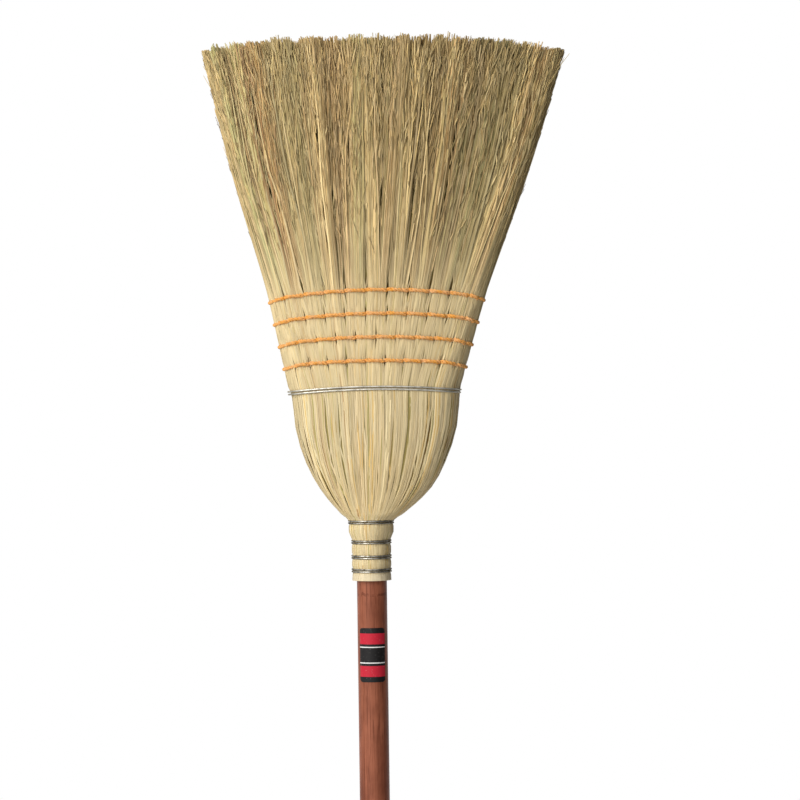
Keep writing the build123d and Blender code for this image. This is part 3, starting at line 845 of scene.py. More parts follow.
class StrawLot:
    """A lot of straw of one kind: its own random draws, its colours and the piece that it makes."""

    def __init__(self, settings, number, *seed):
        self.sweep, self.straw, self.colours = settings.sweep, settings.straw, settings.straw_colours
        self.number = number
        self.rng = np.random.default_rng([self.straw.seed, *seed])

    def uniform(self, low, high):
        """A number between two limits for each straw."""
        return self.rng.uniform(low, high, (self.number, 1))

    def normal(self, size):
        """A number of a usual size, to either side of 0, for each straw."""
        return self.rng.normal(0, size, (self.number, 1))

    def power(self, exponent):
        """A number from 0 to 1 for each straw. A higher exponent draws more of them near 1."""
        return self.rng.power(exponent, (self.number, 1))

    def across(self, low=-1.0, high=1.0):
        """A place across a face for each straw."""
        return spread(self.rng, self.number, low, high)[:, None]

    def waver(self, height, wavelength, size):
        """Sideways waver of each straw along its height."""
        pitch = wavelength * self.uniform(0.6, 1.7)
        turn = self.uniform(0, TURN)
        return size * self.uniform(0.25, 1.0) * np.sin(TURN * height / pitch + turn)

    def tops(self, out, ragged):
        """Heights at or a little under the trimmed edge at sideways places."""
        return trimmed(self.sweep, self.straw, out) - np.abs(self.normal(ragged))

    def grow(self, rows, out, ragged, steps):
        """Heights along straw from the rows to the trimmed edge, and how far each has grown out."""
        start = self.uniform(rows[0].level, rows[-1].level)
        height = start + (self.tops(out, ragged) - start) * np.linspace(0, 1, steps)
        return height, grown_out(self.sweep, rows, height)

    def pick(self, odds, variety):
        """Colours drawn from the palette. A variety below 1 brings them in towards its mean."""
        own = self.colours
        palette = np.array([own.cream, own.straw, own.tan, own.olive, own.russet])
        mean = np.array(odds) @ palette
        drawn = palette[self.rng.choice(len(palette), self.number, p=odds)]
        return (mean + (drawn - mean) * variety) * self.uniform(0.95, 1.04)

    def tints(self, height, dust_and_shade, cast=1.0, streak=1.0):
        """Colours along straw: pale low down, browner at the tips, and painted shade deep in the bundle."""
        low = self.pick(LOW_ODDS, LOW_VARIETY)[:, None]
        high = self.pick(HIGH_ODDS, HIGH_VARIETY)
        risen = fanned_out(self.sweep, height)
        ripe = 1 - np.exp(-risen / RIPENING) + self.normal(UNEVEN) * np.sqrt(risen)
        sewn = rising(height, self.sweep.shoulder_height, 0.02)[..., None]
        low = toward(low, low.mean(0), 0.6 * sewn)
        tint = toward(low, (high * cast)[:, None], np.clip(ripe, 0, 1)[..., None])
        tint = tint * read_off(risen, *BRUSH_LEVELS) * read_off(height, *SHOULDER_LEVELS)
        tint = toward(tint, self.colours.tan, read_off(height, *FOOT_TAN))
        streaked = read_off(height, *STREAK_LEVELS)
        tint = tint * (1 + (np.ones(3) * streak - 1).reshape(-1, 1, 3) * streaked)
        at_collar = np.minimum(1 - rising(height, 0.005, 0.002), 0.6)[..., None]
        tint = toward(tint, self.colours.collar, at_collar)
        # Painted shade, with dust: straw deep in the bundle is mixed towards the shade colour
        return toward(tint, self.colours.shade, np.clip(dust_and_shade, 0, 1)[..., None])

    def add(self, name, node, points, radii, outward, tints, softness, flat=1.0, laid=False, crown=0.3):
        """Adds the straw as a piece along rows of points, with a colour for each point.

        Laid straw turns a side outward. The normals of its outer sides lean outward, as light soaks
        through straw, and those of its tip upward, by the crown.
        """
        if laid:
            phase = self.rng.normal(math.pi / 6, 0.2, self.number)
        else:
            phase = self.rng.uniform(0, TURN, self.number)
        rings, normals, out = straw_rings(points, radii, outward, phase, flat)
        outer = np.clip(1 + (normals * out).sum(-1, keepdims=True), 0, 1)
        soft = normals + np.asarray(softness)[..., None, None] * outer * out
        soft[:, -1, :, 2] += crown
        soft /= np.linalg.norm(soft, axis=-1, keepdims=True)
        mesh = new_mesh(name, rings, np.repeat(tints.reshape(-1, 3), STRAW_SIDES, axis=0))
        mesh.normals_split_custom_set_from_vertices(soft.reshape(-1, 3).astype(np.float32))
        add_piece(name, mesh, "straw", "broomcorn", node)


class Clumps:
    """Clumps that the straw of a face gathers in: the clump of each straw, and what its straws share."""

    def __init__(self, rng, number, across):
        self.number = number
        self.rng = rng
        clump = np.round((across + 1) / 2 * number + rng.normal(0, 0.3, across.shape))
        self.clump = np.clip(clump, 0, number).astype(int)
        middles = (np.arange(number + 1) + rng.uniform(-0.35, 0.35, number + 1)) / number * 2 - 1
        self.away = middles[self.clump] - across

    def shared(self, values):
        """Gives every straw the value of its clump."""
        return values[self.clump]

    def uniform(self, low, high):
        """A number between two limits for each clump."""
        return self.shared(self.rng.uniform(low, high, self.number + 1))

    def normal(self, size):
        """A number of a usual size, to either side of 0, for each clump."""
        return self.shared(self.rng.normal(0, size, self.number + 1))


class Slits:
    """Slits that open here and there in the straw of a face.

    Each has a height, a reach and a width between two limits. An outward below 1 puts more at the sides.
    """

    def __init__(self, rng, number, heights, reaches, widths, outward=1.0):
        places = spread(rng, number)
        self.places = SLIT_SPAN * np.sign(places) * np.abs(places) ** outward
        self.heights = rng.uniform(*heights, number)
        self.reaches = rng.uniform(*reaches, number)
        self.widths = rng.uniform(*widths, number)

    def opened(self, across, height):
        """Across places pushed aside by the slits."""
        for place, level, reach, width in zip(self.places, self.heights, self.reaches, self.widths):
            off = across - place
            gape = np.clip(1 - ((height - level) / reach) ** 2, 0, 1)
            across = across + np.sign(off) * width * gape * np.exp(-((off / (2 * width)) ** 2))
        return across


class Face:
    """One face of the sweep, with the partings and the streaks that all its straw shares."""

    def __init__(self, settings, name):
        sweep, straw = settings.sweep, settings.straw
        self.name = name
        self.way = FACES[name]
        rng = np.random.default_rng([straw.seed, self.way + 1, 9])
        self.streaks = []
        for number, size in STREAKS:
            in_turn = np.where(np.arange(number + 1) % 2, 1, -1)
            paler = in_turn * size * rng.uniform(0.2, 1.6, number + 1)
            self.streaks.append(1 + paler[:, None] + rng.normal(0, size, (number + 1, 1)) * REDDER)
        rng = np.random.default_rng([straw.seed, self.way + 1, 10])
        heights = (sweep.stitched_height + 0.06, sweep.tip_height)
        self.partings = Slits(rng, straw.partings, heights, **PARTINGS)

    def streak(self, rng, across):
        """Share of its own colour that each straw keeps in its streaks."""
        kept = np.ones(3)
        for table in self.streaks:
            last = len(table) - 1
            cell = np.round((across[:, 0] + 1) / 2 * last + rng.normal(0, 0.25, len(across)))
            kept = kept * table[np.clip(cell, 0, last).astype(int)]
        return kept

    def add(self, lot, kind, height, across, points, radii, dust_and_shade, outward, softness, cast=1.0, **form):
        """Adds a lot of straw to the face, in the colours of its streaks."""
        tints = lot.tints(height, dust_and_shade, cast, self.streak(lot.rng, across))
        name, node = f"{self.name}_hurl_{kind}", f"{self.name}_hurl_corn"
        lot.add(name, node, points, radii, outward, tints, softness, **form)

    def scatter(self, lot, kind, height, across, inset, slide, radii):
        """Adds short straw that lies loose on the face."""
        place = self.partings.opened(across, height)
        points = on_sweep(lot.sweep, height, place, self.way, inset, slide)
        dust_and_shade = np.broadcast_to(lot.uniform(0.04, 0.18), height.shape)
        outward = facing(lot.sweep, height, across, self.way)
        self.add(lot, kind, height, across, points, radii, dust_and_shade, outward, lot.straw.loose_softness)


def stalk_heights(sweep, rows, across, ends):
    """Heights along stalks: close together at the ties, and open from the rows up to their ends."""
    neck = np.concatenate([NECK_STEPS] + [band + WIRE_STEPS for band in sweep.neck_bands])
    low = np.concatenate([np.sort(neck), SHOULDER_STEPS])
    band = sweep.band_height - arch(sweep, across, sweep.band_drop) + WIRE_STEPS
    sewn = [row.height(across) + ROW_STEPS for row in rows]
    top = sewn[-1][:, -1:] + 0.007
    high = top + (ends - top) * np.linspace(0, 1, OPEN_STEPS)
    return np.concatenate([np.broadcast_to(low, (len(across), len(low))), band] + sewn + [high], 1)


def make_stalks(settings, rows, face):
    """Stalks of the outer corn of a face, from the collar to where they thin out among the bristles."""
    sweep, straw = settings.sweep, settings.straw
    lot = StrawLot(settings, straw.stalks, face.way + 1, 1)
    across = lot.across()
    leads = lot.uniform(0, 1) < straw.leading
    ends = np.where(leads, lot.uniform(*LEAD_ENDS), lot.uniform(*STALK_ENDS))
    height = stalk_heights(sweep, rows, across, ends)
    layer = lot.rng.choice((0.0, 1.0, 2.0), (lot.number, 1), p=(0.5, 0.3, 0.2))
    radius = straw.stalk_radius * lot.uniform(0.62, 1.32)
    fans = Clumps(lot.rng, straw.fans, across)
    risen = rising(height, rows[0].level, sweep.tip_height - rows[0].level)
    in_neck = 1 - rising(height, 0.0, sweep.shoulder_height)
    sewn = rising(height, sweep.shoulder_height, 0.05)
    loose = rising(height, sweep.stitched_height, 0.05)
    fanned = fanned_out(sweep, height)
    # Thinner in the neck and up the brush, where those on top stay stouter, and drawn out at the end
    radii = radius * (1 - np.where(leads, 0.3, 0.6) * risen) * (1 + 0.15 * sewn) * (1 - 0.15 * in_neck)
    radii = radii * (1 - 0.75 * rising(height / ends, 0.86, 0.14))
    # In three layers that the rows press together, then under the brush or on top of it
    pressed = 1 - 0.7 * sewn * (1 - loose)
    under = layer * 0.00035 + np.abs(lot.waver(height, 0.08, 0.0003))
    inset = radii * straw.stalk_flat + pressed * under + np.where(leads, -0.0006, 0.0022) * risen
    # Wavering, in fans above the neck, slit in the shoulder, and in wisps and partings in the brush
    slide = lot.waver(height, 0.12, 0.0006) * rising(height, 0.055, 0.05)
    slide = slide + lot.waver(height, 0.13, 0.0022) * fanned
    above_neck = rising(height, sweep.neck_height, 0.012) * (1 - rising(height, 0.07, 0.07))
    place = across + fans.away * fans.uniform(0.1, 0.6) * above_neck
    fine = Slits(lot.rng, straw.fine_slits, **FINE_SLITS)
    bold = Slits(lot.rng, straw.bold_slits, **BOLD_SLITS)
    place = bold.opened(fine.opened(place, height), height)
    leaning = np.where(leads, lot.normal(0.045), lot.normal(0.010))
    wisps = Clumps(lot.rng, straw.wisps, across)
    place = place + (leaning * (1 - across**16) + wisps.away * wisps.uniform(0.2, 0.7)) * fanned
    place = np.clip(face.partings.opened(place, height), -1, 1)
    points = laid_straw(sweep, straw, height, place, face.way, inset, slide, rows)
    # Darker in the lower layers by painted shade, softer under the rows, and a little paler on top of the
    # brush
    dust_and_shade = 0.04 * layer + 0.08 * (risen * lot.uniform(0, 1))
    outward = facing(sweep, height, place, face.way, loose)
    softness = straw.laid_softness * (1 + 1.5 * sewn * (1 - loose) + 0.5 * loose)
    form = {"cast": np.where(leads, 1.05, 1.0), "flat": straw.stalk_flat, "laid": True}
    face.add(lot, "stalks", height, across, points, radii, dust_and_shade, outward, softness, **form)


def make_bristles(settings, rows, face):
    """Bristles of the outer layer of a face, from the sewing to the trimmed edge."""
    sweep, straw = settings.sweep, settings.straw
    lot = StrawLot(settings, straw.bristles, face.way + 1, 2)
    across = lot.across()
    clumps = Clumps(lot.rng, straw.clumps, across)
    wisps = Clumps(lot.rng, straw.wisps, across)
    # From among the rows to the trimmed edge, uneven by wisps, with one in five broken off
    start = lot.uniform(rows[0].level - 0.015, rows[-1].level - 0.004)
    broken = lot.uniform(0, 1) < 0.2
    short = np.abs(lot.normal(straw.ragged)) + broken * lot.uniform(0, 0.05)
    end = trimmed(sweep, straw, sideways(sweep, across)) + wisps.normal(straw.ragged * 0.5) - short
    height = start + (end - start) * np.linspace(0, 1, 16) ** 0.9
    grown = grown_out(sweep, rows, height)
    # Drawn together and leaning in clumps and wisps, upright at the edges of the face, and slit
    drawn = clumps.away * clumps.uniform(0.15, 0.5) + wisps.away * wisps.uniform(0.3, 0.8)
    inner = 1 - across**16
    leaning = clumps.normal(straw.clump_lean) + wisps.normal(straw.clump_lean) + lot.normal(0.008)
    place = across + np.sqrt(grown) * drawn + leaning * inner * grown
    heights = (rows[-1].level + 0.02, sweep.tip_height - 0.03)
    slits = Slits(lot.rng, straw.slits, heights, **BRUSH_SLITS)
    place = np.clip(face.partings.opened(slits.opened(place, height), height), -1, 1)
    # Deeper by clumps and wisps towards the tips, and darker by painted shade as they lie deeper
    radii = straw.bristle_radius * lot.uniform(0.6, 1.35) * (1.1 - 0.28 * grown)
    layer = np.abs(lot.normal(1))
    depth = np.abs(clumps.normal(straw.clump_depth)) + np.abs(wisps.normal(straw.clump_depth * 0.6))
    inset = radii + (0.0007 + 0.0007 * grown) * layer + (depth - 0.0006) * grown
    slide = (lot.waver(height, 0.11, 0.0020) + lot.waver(height, 0.034, 0.0006)) * grown * inner
    points = laid_straw(sweep, straw, height, place, face.way, inset, slide, rows)
    dust_and_shade = np.minimum((0.05 * layer + 45 * depth) * grown, 0.6)
    casts = CLUMP_CASTS[lot.rng.integers(0, len(CLUMP_CASTS), straw.clumps + 1)]
    cast = clumps.shared(casts)[:, 0] * wisps.uniform(0.89, 1.11)
    outward = facing(sweep, height, place, face.way)
    face.add(lot, "bristles", height, across, points, radii, dust_and_shade, outward, straw.loose_softness, cast)


def make_twigs(settings, face):
    """Fine side twigs that make the upper part of a face bushy."""
    sweep, straw = settings.sweep, settings.straw
    lot = StrawLot(settings, straw.twigs, face.way + 1, 3)
    across = lot.across(-0.95, 0.95)
    reach = lot.uniform(0.018, 0.06)
    end = lot.tops(sideways(sweep, across), straw.ragged) - 0.17 * lot.power(0.7) * lot.uniform(0, 1)
    steps = np.linspace(0, 1, 6)
    height = end - reach * (1 - steps)
    slide = lot.normal(0.13) * reach * (1 - across**8) * steps**1.6 + lot.waver(height, 0.018, 0.0007)
    inset = 0.0016 - lot.uniform(-0.002, 0.0028) * steps**1.5 + np.abs(lot.normal(0.0012))
    radii = straw.twig_radius * lot.uniform(0.7, 1.5) * (1.2 - 0.6 * steps)
    face.scatter(lot, "twigs", height, across, inset, slide, radii)


def make_chaff(settings, rows, face):
    """Short ends and seed husks that roughen the brush of a face above the rows."""
    sweep, straw = settings.sweep, settings.straw
    lot = StrawLot(settings, straw.chaff, face.way + 1, 7)
    across = lot.across(-0.95, 0.95)
    reach = lot.uniform(0.005, 0.017)
    low = rows[-1].level + 0.02
    top = lot.tops(sideways(sweep, across), straw.ragged)
    steps = np.linspace(0, 1, 4)
    height = low + (top - reach - low) * lot.power(2.0) + reach * steps
    slide = reach * steps * lot.normal(0.14) + lot.normal(0.001)
    inset = np.abs(lot.normal(0.0012)) - 0.0002 - 0.0012 * steps * lot.uniform(0, 1)
    swell = 0.45 + 0.75 * np.sin(math.pi * (0.1 + 0.8 * steps))
    radii = straw.chaff_radius * lot.uniform(0.6, 1.4) * swell
    face.scatter(lot, "chaff", height, across, inset, slide, radii)


def make_shoulder_bristles(settings, rows, side_name):
    """Bristles of the middle layer of one half of the sweep."""
    sweep, straw = settings.sweep, settings.straw
    side = SHOULDERS[side_name]
    lot = StrawLot(settings, straw.shoulder_bristles, side + 1, 4)
    across = side * lot.across(0.0, 1.0)
    way = np.where(lot.uniform(0, 1) < 0.5, FRONT, BACK)
    height, grown = lot.grow(rows, sideways(sweep, across), straw.ragged * 1.4, steps=12)
    radii = straw.bristle_radius * lot.uniform(0.7, 1.4) * (1.2 - 0.5 * grown)
    inset = lot.uniform(0.004, 0.010) + 0.007 * grown * lot.uniform(0, 1)
    points = on_sweep(sweep, height, across, way, inset, lot.waver(height, 0.07, 0.003) * grown)
    # Painted shade: darker inside the sweep, and paler towards the tips
    tints = lot.tints(height, 0.34 - 0.30 * grown**4)
    outward = facing(sweep, height, across, way, loose=0.0)
    name, node = f"{side_name}_shoulder_bristles", f"{side_name}_shoulder_corn"
    lot.add(name, node, points, radii, outward, tints, straw.inner_softness, crown=2.0)


def make_core_bristles(settings, rows):
    """Bristles in the middle of the sweep, which show among the tips."""
    sweep, straw = settings.sweep, settings.straw
    lot = StrawLot(settings, straw.core_bristles, 0, 5)
    radial = np.sqrt(lot.uniform(0, 1)) * 0.86
    turn = lot.uniform(0, TURN)
    across, through = np.cos(turn), np.sin(turn)
    height, grown = lot.grow(rows, radial * across, straw.ragged * 1.5, steps=10)
    x = half_width(sweep, height) * radial * across + lot.waver(height, 0.06, 0.003) * grown
    y = half_depth(sweep, height) * radial * through + lot.waver(height, 0.05, 0.003) * grown
    points = np.stack([middle(sweep, height) + x, y, sweep.collar + height], -1)
    radii = straw.bristle_radius * lot.uniform(0.7, 1.4) * (1.2 - 0.5 * grown)
    # Painted shade: darker inside the sweep, and paler towards the tips
    tints = lot.tints(height, 0.45 - 0.40 * grown**4)
    outward = np.stack(np.broadcast_arrays(across, through, 0.0), -1)
    lot.add("core_bristles", "core_corn", points, radii, outward, tints, straw.inner_softness, crown=2.0)


def make_core_bundle(settings, rows):
    """Packed inside of the bundle, which shows dark between the stalks by painted shade."""
    sweep, straw, colours = settings.sweep, settings.straw, settings.straw_colours
    height = np.concatenate([np.linspace(*part) for part in BUNDLE_STEPS])[:, None]
    low, high, top = rows[0].level, rows[-1].level, height[-1, 0]
    half = np.linspace(-1, 1, BUNDLE_CORNERS // 2 + 1)
    across = np.concatenate([half[:-1], half[:0:-1]])
    way = np.repeat((FRONT, BACK), BUNDLE_CORNERS // 2)
    # Just under the stalks, and deeper where the stitches part them
    _, gap = gathered(straw, height, across, rows)
    parted = rising(gap, 0.35, 0.3)
    stations = (0.048, 0.054, 0.070, 0.090, low - 0.02, high, top)
    insets = (0.0007, 0.0018, 0.0018, 0.0010, 0.0010, 0.0011, 0.010)
    inset = np.interp(height, stations, insets) + 0.002 * parted
    rings = laid_straw(sweep, straw, height, across, way, inset, 0.0, rows)
    # Streaked, and darkest by painted shade there, inside the brush and beside the middle of the shoulder
    rng = np.random.default_rng([straw.seed, 0, 6])
    streak = rng.uniform(0.8, 1.15, (1, BUNDLE_CORNERS, 1))
    stations = (0.05, 0.075, 0.14, low - 0.012, high, top)
    bright = read_off(height, stations, (1.1, 0.6, 0.65, 1.05, 1.0, 0.4))
    in_shoulder = read_off(height, (0.05, 0.065, 0.13, 0.16), (0, 1, 1, 0))
    side_shade = rising(np.abs(across + 0.12), 0.5, 0.15)[:, None]
    # Painted shade towards the sides of the shoulder and where the stitches part the stalks
    bright = bright * (1 - 0.9 * in_shoulder * side_shade) * (1 - 0.75 * parted[..., None])
    tints = toward(np.array(colours.shade), colours.olive, bright) * streak
    mesh = new_mesh("core_bundle", rings[None], tints.reshape(-1, 3))
    add_piece("core_bundle", mesh, "straw", "broomcorn", "core_corn")


# Twine


def smooth_path(controls, parts):
    """Smooth path through control points, with a number of parts between each two."""
    first = 2 * controls[:1] - controls[1:2]
    last = 2 * controls[-1:] - controls[-2:-1]
    line = np.concatenate([first, controls, last])
    before, start, end, after = line[:-3], line[1:-2], line[2:-1], line[3:]
    t = np.linspace(0, 1, parts, endpoint=False)[:, None, None]
    path = 0.5 * (
        2 * start
        + (end - before) * t
        + (2 * before - 5 * start + 4 * end - after) * t**2
        + (3 * start - before - 3 * end + after) * t**3
    )
    return np.concatenate([path.transpose(1, 0, 2).reshape(-1, 3), controls[-1:]])


def even_path(path, step):
    """The same path with points an even step apart."""
    run = np.concatenate([[0], np.cumsum(np.linalg.norm(np.diff(path, axis=0), axis=1))])
    places = np.linspace(0, run[-1], max(2, round(run[-1] / step)))
    return np.stack([np.interp(places, run, axis) for axis in path.T], 1)


def round_about(line, turns):
    """Ways out of a line at turns round it, which are carried along it without twist."""
    along = np.gradient(line, axis=0)
    along /= np.linalg.norm(along, axis=1, keepdims=True)
    first = np.cross(along[0], (0.3, 0.2, 1.0))
    carried = []
    for way in along:
        first = first - way * first.dot(way)
        first = first / np.linalg.norm(first)
        carried.append(first)
    second = np.cross(along, carried)
    return np.cos(turns)[..., None] * np.array(carried) + np.sin(turns)[..., None] * second


def add_twine(name, path, sewing, diameter, node, step, sides):
    """Piece of twisted twine along a path."""
    line = even_path(path, step)
    advance = TURN * np.linalg.norm(line[1] - line[0]) / sewing.lay * np.arange(len(line))
    starts = TURN * np.arange(sewing.plies) / sewing.plies
    plies = line + round_about(line, starts[:, None] + advance) * diameter * PLY_OFFSET
    turns = (TURN * np.arange(sides) / sides)[:, None]
    rings = [ply + round_about(ply, turns) * diameter * PLY_RADIUS for ply in plies]
    mesh = new_mesh(name, np.array(rings).transpose(0, 2, 1, 3))
    add_piece(name, mesh, "dyed_twine", "twine", node)


def make_band_twine(settings, row):
    """Twine laid once round the sweep, pulled in by the stitches, with its ends tucked into the back."""
    sweep, sewing = settings.sweep, settings.sewing
    left, full, right = BAND_POINTS
    left_back = np.linspace(0.0, -1.0, left)
    front = np.linspace(-1.0, 1.0, full)[1:]
    right_back = np.linspace(1.0, row.pitch * sewing.tuck, right)[1:]
    across = np.concatenate([left_back[:1], left_back, front, right_back, right_back[-1:]])
    way = np.repeat((BACK, FRONT, BACK), (len(left_back) + 1, len(front), len(right_back) + 1))
    phase = row.phase(across)
    off = phase - np.clip(np.round(phase), 0, row.tufts)
    inset = sewing.pull * np.exp(-((off / sewing.pull_reach) ** 2)) - sewing.proud
    inset[[0, -1]] = sewing.bite
    path = smooth_path(on_sweep(sweep, row.height(across), across, way, inset), parts=2)
    name, node = f"row_{row.number}_band_twine", f"stitch_band_{row.number}"
    add_twine(name, path, sewing, sewing.band, node, step=0.0008, sides=7)


def make_sewn_twine(settings, row):
    """Twine sewn through the sweep: it slants over the band at the front and loops over it behind."""
    sweep, sewing = settings.sweep, settings.sewing
    bite, slant, dive = sewing.bite, sewing.slant, sewing.dive
    out = -sewing.proud
    over = out - sewing.band * 0.5
    loop = slant * LOOP_RISE
    behind = ((0, -slant, bite), (0, -loop, out), (0, 0, over), (0, loop, out), (0, slant, bite))
    before = (
        (0, slant, bite),
        (dive, slant, out),
        (0.5, 0, over),
        (1 - dive, -slant, out),
        (1, -slant, bite),
    )
    gone, rise, inset = np.array(behind + before).T
    way = np.repeat((BACK, FRONT), (len(behind), len(before)))
    place = row.stitch(np.arange(row.tufts + 1)[:, None] + gone)
    points = on_sweep(sweep, row.height(place) + rise, place, way, inset).reshape(-1, 3)
    path = smooth_path(points[: -len(before)], parts=8)
    name, node = f"row_{row.number}_sewn_twine", f"stitch_thread_{row.number}"
    add_twine(name, path, sewing, sewing.twine, node, step=0.001, sides=6)


# Stage


def aim(thing, target):
    """Turns a lamp or card so that it faces a point."""
    way = np.array(target) - np.array(thing.location)
    yaw = math.atan2(way[1], way[0]) - math.pi / 2
    tilt = math.atan2(way[2], math.hypot(way[0], way[1])) + math.pi / 2
    thing.rotation_euler = (tilt, 0.0, yaw)


def add_lamp(name, place, target, size, power):
    """Soft square lamp."""
    lamp = bpy.data.lights.new(name, "AREA")
    lamp.size = size
    lamp.energy = power
    thing = bpy.data.objects.new(name, lamp)
    thing.location = place
    aim(thing, target)
    bpy.context.scene.collection.objects.link(thing)


def add_sheet(name, across, along, material):
    """Flat stage sheet round its own middle, with half its sides given."""
    corners = [(-across, -along, 0), (across, -along, 0), (across, along, 0), (-across, along, 0)]
    mesh = bpy.data.meshes.new(name)
    mesh.from_pydata(corners, [], [(0, 1, 2, 3)])
    mesh.materials.append(material)
    sheet = bpy.data.objects.new(name, mesh)
    bpy.context.scene.collection.objects.link(sheet)
    return sheet


def floor_material(floor, radius):
    """Pale floor that keeps shadows and fades into the white background at its rim."""
    material = plain_material("pale_floor", floor, 0.8)
    tree = material.node_tree
    shade = Shade(tree)
    away = shade.node("ShaderNodeVectorMath", {"operation": "LENGTH"}, {0: shade.place()}, output=1)
    rim = (away * (1 / radius)).ramp((0.25, 0.0), (0.95, 1.0))
    white = shade.node("ShaderNodeEmission", inputs={"Color": WHITE, "Strength": 1.0})
    surface = Shade(tree, tree.nodes["Principled BSDF"].outputs[0])
    mixed = shade.node("ShaderNodeMixShader", inputs={0: rim, 1: surface, 2: white})
    tree.links.new(mixed.socket, tree.nodes["Material Output"].inputs["Surface"])
    return material


def make_world(ambient):
    """White background, with a softer light from all round for the object."""
    world = bpy.data.worlds.new("studio")
    world.use_nodes = True
    bpy.context.scene.world = world
    tree = world.node_tree
    shade = Shade(tree)
    seen = shade.node("ShaderNodeLightPath", output="Is Camera Ray")
    rays = seen.socket.node.outputs
    for name in ("Is Glossy Ray", "Is Transmission Ray"):
        seen = seen.math("MAXIMUM", seen, Shade(tree, rays[name]))
    shade.feed(tree.nodes["Background"], {"Color": WHITE, "Strength": ambient + (1 - ambient) * seen})


def make_camera(stage, sweep):
    """Level camera that sees the broom as the photograph does."""
    camera = bpy.data.cameras.new("camera")
    camera.sensor_width = 36.0
    camera.lens = camera.sensor_width * stage.distance / (stage.picture * stage.pixel)
    right = (stage.picture / 2 - stage.collar_column) * stage.pixel
    up = (stage.collar_row - stage.picture / 2) * stage.pixel
    x = right * math.cos(stage.roll) + up * math.sin(stage.roll)
    z = up * math.cos(stage.roll) - right * math.sin(stage.roll)
    thing = bpy.data.objects.new("camera", camera)
    thing.location = (x, -stage.distance, sweep.collar + z)
    thing.rotation_euler = (math.pi / 2, stage.roll, 0.0)
    bpy.context.scene.collection.objects.link(thing)
    bpy.context.scene.camera = thing


# Operators


def finish_node(name, material):
    """Gives a CAD node its material."""
    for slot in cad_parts[name].material_slots:
        slot.material = material


def sewn_rows(settings):
    """The sewn rows, from the lowest to the top one."""
    return [Row(number, settings.sweep) for number in ROWS]


class BROOM_OT_handle(Operator):
    """Stain and lacquer the handle"""

    bl_idname = "broom.handle"
    bl_label = "Handle"

    def execute(self, context):
        settings = context.scene.broom
        finish = settings.finish
        finish_node("handle", wood_material(finish.stain, finish.stain_dark, settings.sweep.collar))
        return {"FINISHED"}


class BROOM_OT_label(Operator):
    """Print the label on the handle"""

    bl_idname = "broom.label"
    bl_label = "Label"

    def execute(self, context):
        finish = context.scene.broom.finish
        low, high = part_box("handle_label")
        material = label_material(finish.film, finish.film_band, finish.film_line, low.z, high.z)
        finish_node("handle_label", material)
        return {"FINISHED"}


class BROOM_OT_wires(Operator):
    """Galvanise the wire band, and leave the windings and the tacks bare"""

    bl_idname = "broom.wires"
    bl_label = "Wires"

    def execute(self, context):
        finish = context.scene.broom.finish
        zinc = wire_material("galvanised_wire", finish.zinc, finish.zinc_dull, finish.zinc_roughness)
        steel = wire_material("bare_wire", finish.steel, finish.steel_dull, finish.steel_roughness)
        finish_node("sweep_wire_band", zinc)
        for name in BARE_WIRES:
            finish_node(name, steel)
        return {"FINISHED"}


class BROOM_OT_core(Operator):
    """Pack the inside of the sweep"""

    bl_idname = "broom.core"
    bl_label = "Core"

    def execute(self, context):
        settings = context.scene.broom
        rows = sewn_rows(settings)
        make_core_bundle(settings, rows)
        make_core_bristles(settings, rows)
        for side_name in SHOULDERS:
            make_shoulder_bristles(settings, rows, side_name)
        return {"FINISHED"}


class BROOM_OT_hurl(Operator):
    """Lay the stalks, bristles, twigs and chaff of both faces"""

    bl_idname = "broom.hurl"
    bl_label = "Hurl"

    def execute(self, context):
        settings = context.scene.broom
        rows = sewn_rows(settings)
        for name in FACES:
            face = Face(settings, name)
            make_stalks(settings, rows, face)
            make_bristles(settings, rows, face)
            make_twigs(settings, face)
            make_chaff(settings, rows, face)
        return {"FINISHED"}


class BROOM_OT_sewing(Operator):
    """Sew the rows of twine"""

    bl_idname = "broom.sewing"
    bl_label = "Sewing"

    def execute(self, context):
        settings = context.scene.broom
        for row in sewn_rows(settings):
            make_band_twine(settings, row)
            make_sewn_twine(settings, row)
        return {"FINISHED"}


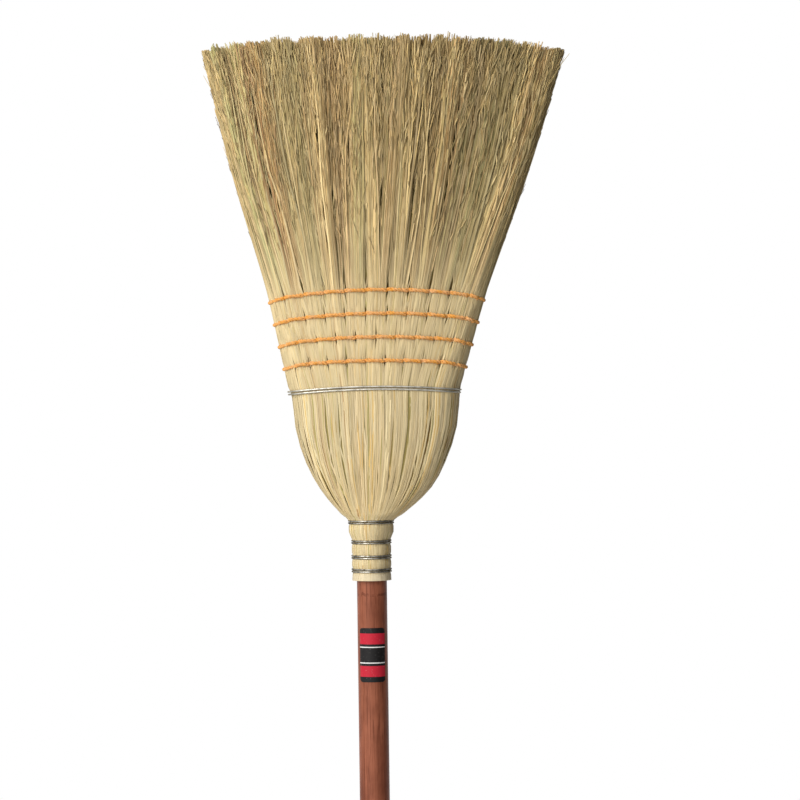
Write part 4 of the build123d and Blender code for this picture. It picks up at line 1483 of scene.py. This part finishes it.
class BROOM_OT_stage(Operator):
    """Set up the floor, the light and the camera"""

    bl_idname = "broom.stage"
    bl_label = "Stage"

    def execute(self, context):
        settings = context.scene.broom
        stage = settings.stage
        context.scene.view_settings.view_transform = "Standard"
        target = (0.0, 0.0, settings.sweep.collar + stage.lit_height)
        half = stage.floor_half
        add_sheet("floor", half, half, floor_material(stage.floor, half))
        card = add_sheet("card", *stage.card_half, plain_material("dark_card", stage.card, 0.9))
        card.location = (*stage.card_place, target[2])
        aim(card, target)
        card.visible_camera = False
        card.visible_shadow = False
        add_lamp("key", stage.key_place, target, stage.key_size, stage.key_power)
        add_lamp("back_fill", stage.fill_place, target, stage.fill_size, stage.fill_power)
        make_world(stage.ambient)
        make_camera(stage, settings.sweep)
        return {"FINISHED"}


class BROOM_PT_panel(Panel):
    """Buttons that dress the broom, and its settings"""

    bl_label = "Corn Broom"
    bl_idname = "BROOM_PT_panel"
    bl_space_type = "VIEW_3D"
    bl_region_type = "UI"
    bl_category = "Broom"

    def draw(self, context):
        for operator in OPERATORS:
            self.layout.operator(operator.bl_idname)
        settings = context.scene.broom
        for part in BroomSettings.__annotations__:
            group = getattr(settings, part)
            box = self.layout.box()
            for name in group.__annotations__:
                box.prop(group, name)


GROUPS = (SweepSizes, StrawSizes, StrawColours, SewingSizes, FinishSettings, StageSettings, BroomSettings)
OPERATORS = (
    BROOM_OT_handle,
    BROOM_OT_label,
    BROOM_OT_wires,
    BROOM_OT_core,
    BROOM_OT_hurl,
    BROOM_OT_sewing,
    BROOM_OT_stage,
)
CLASSES = GROUPS + OPERATORS + (BROOM_PT_panel,)


def register():
    """Adds the settings, the operators and the panel."""
    for cls in CLASSES:
        bpy.utils.register_class(cls)
    bpy.types.Scene.broom = PointerProperty(type=BroomSettings)


def unregister():
    """Takes them away again."""
    del bpy.types.Scene.broom
    for cls in reversed(CLASSES):
        bpy.utils.unregister_class(cls)


def main():
    """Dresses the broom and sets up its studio."""
    register()
    bpy.ops.broom.handle()
    bpy.ops.broom.label()
    bpy.ops.broom.wires()
    bpy.ops.broom.core()
    bpy.ops.broom.hurl()
    bpy.ops.broom.sewing()
    bpy.ops.broom.stage()


if __name__ == "__main__":
    main()
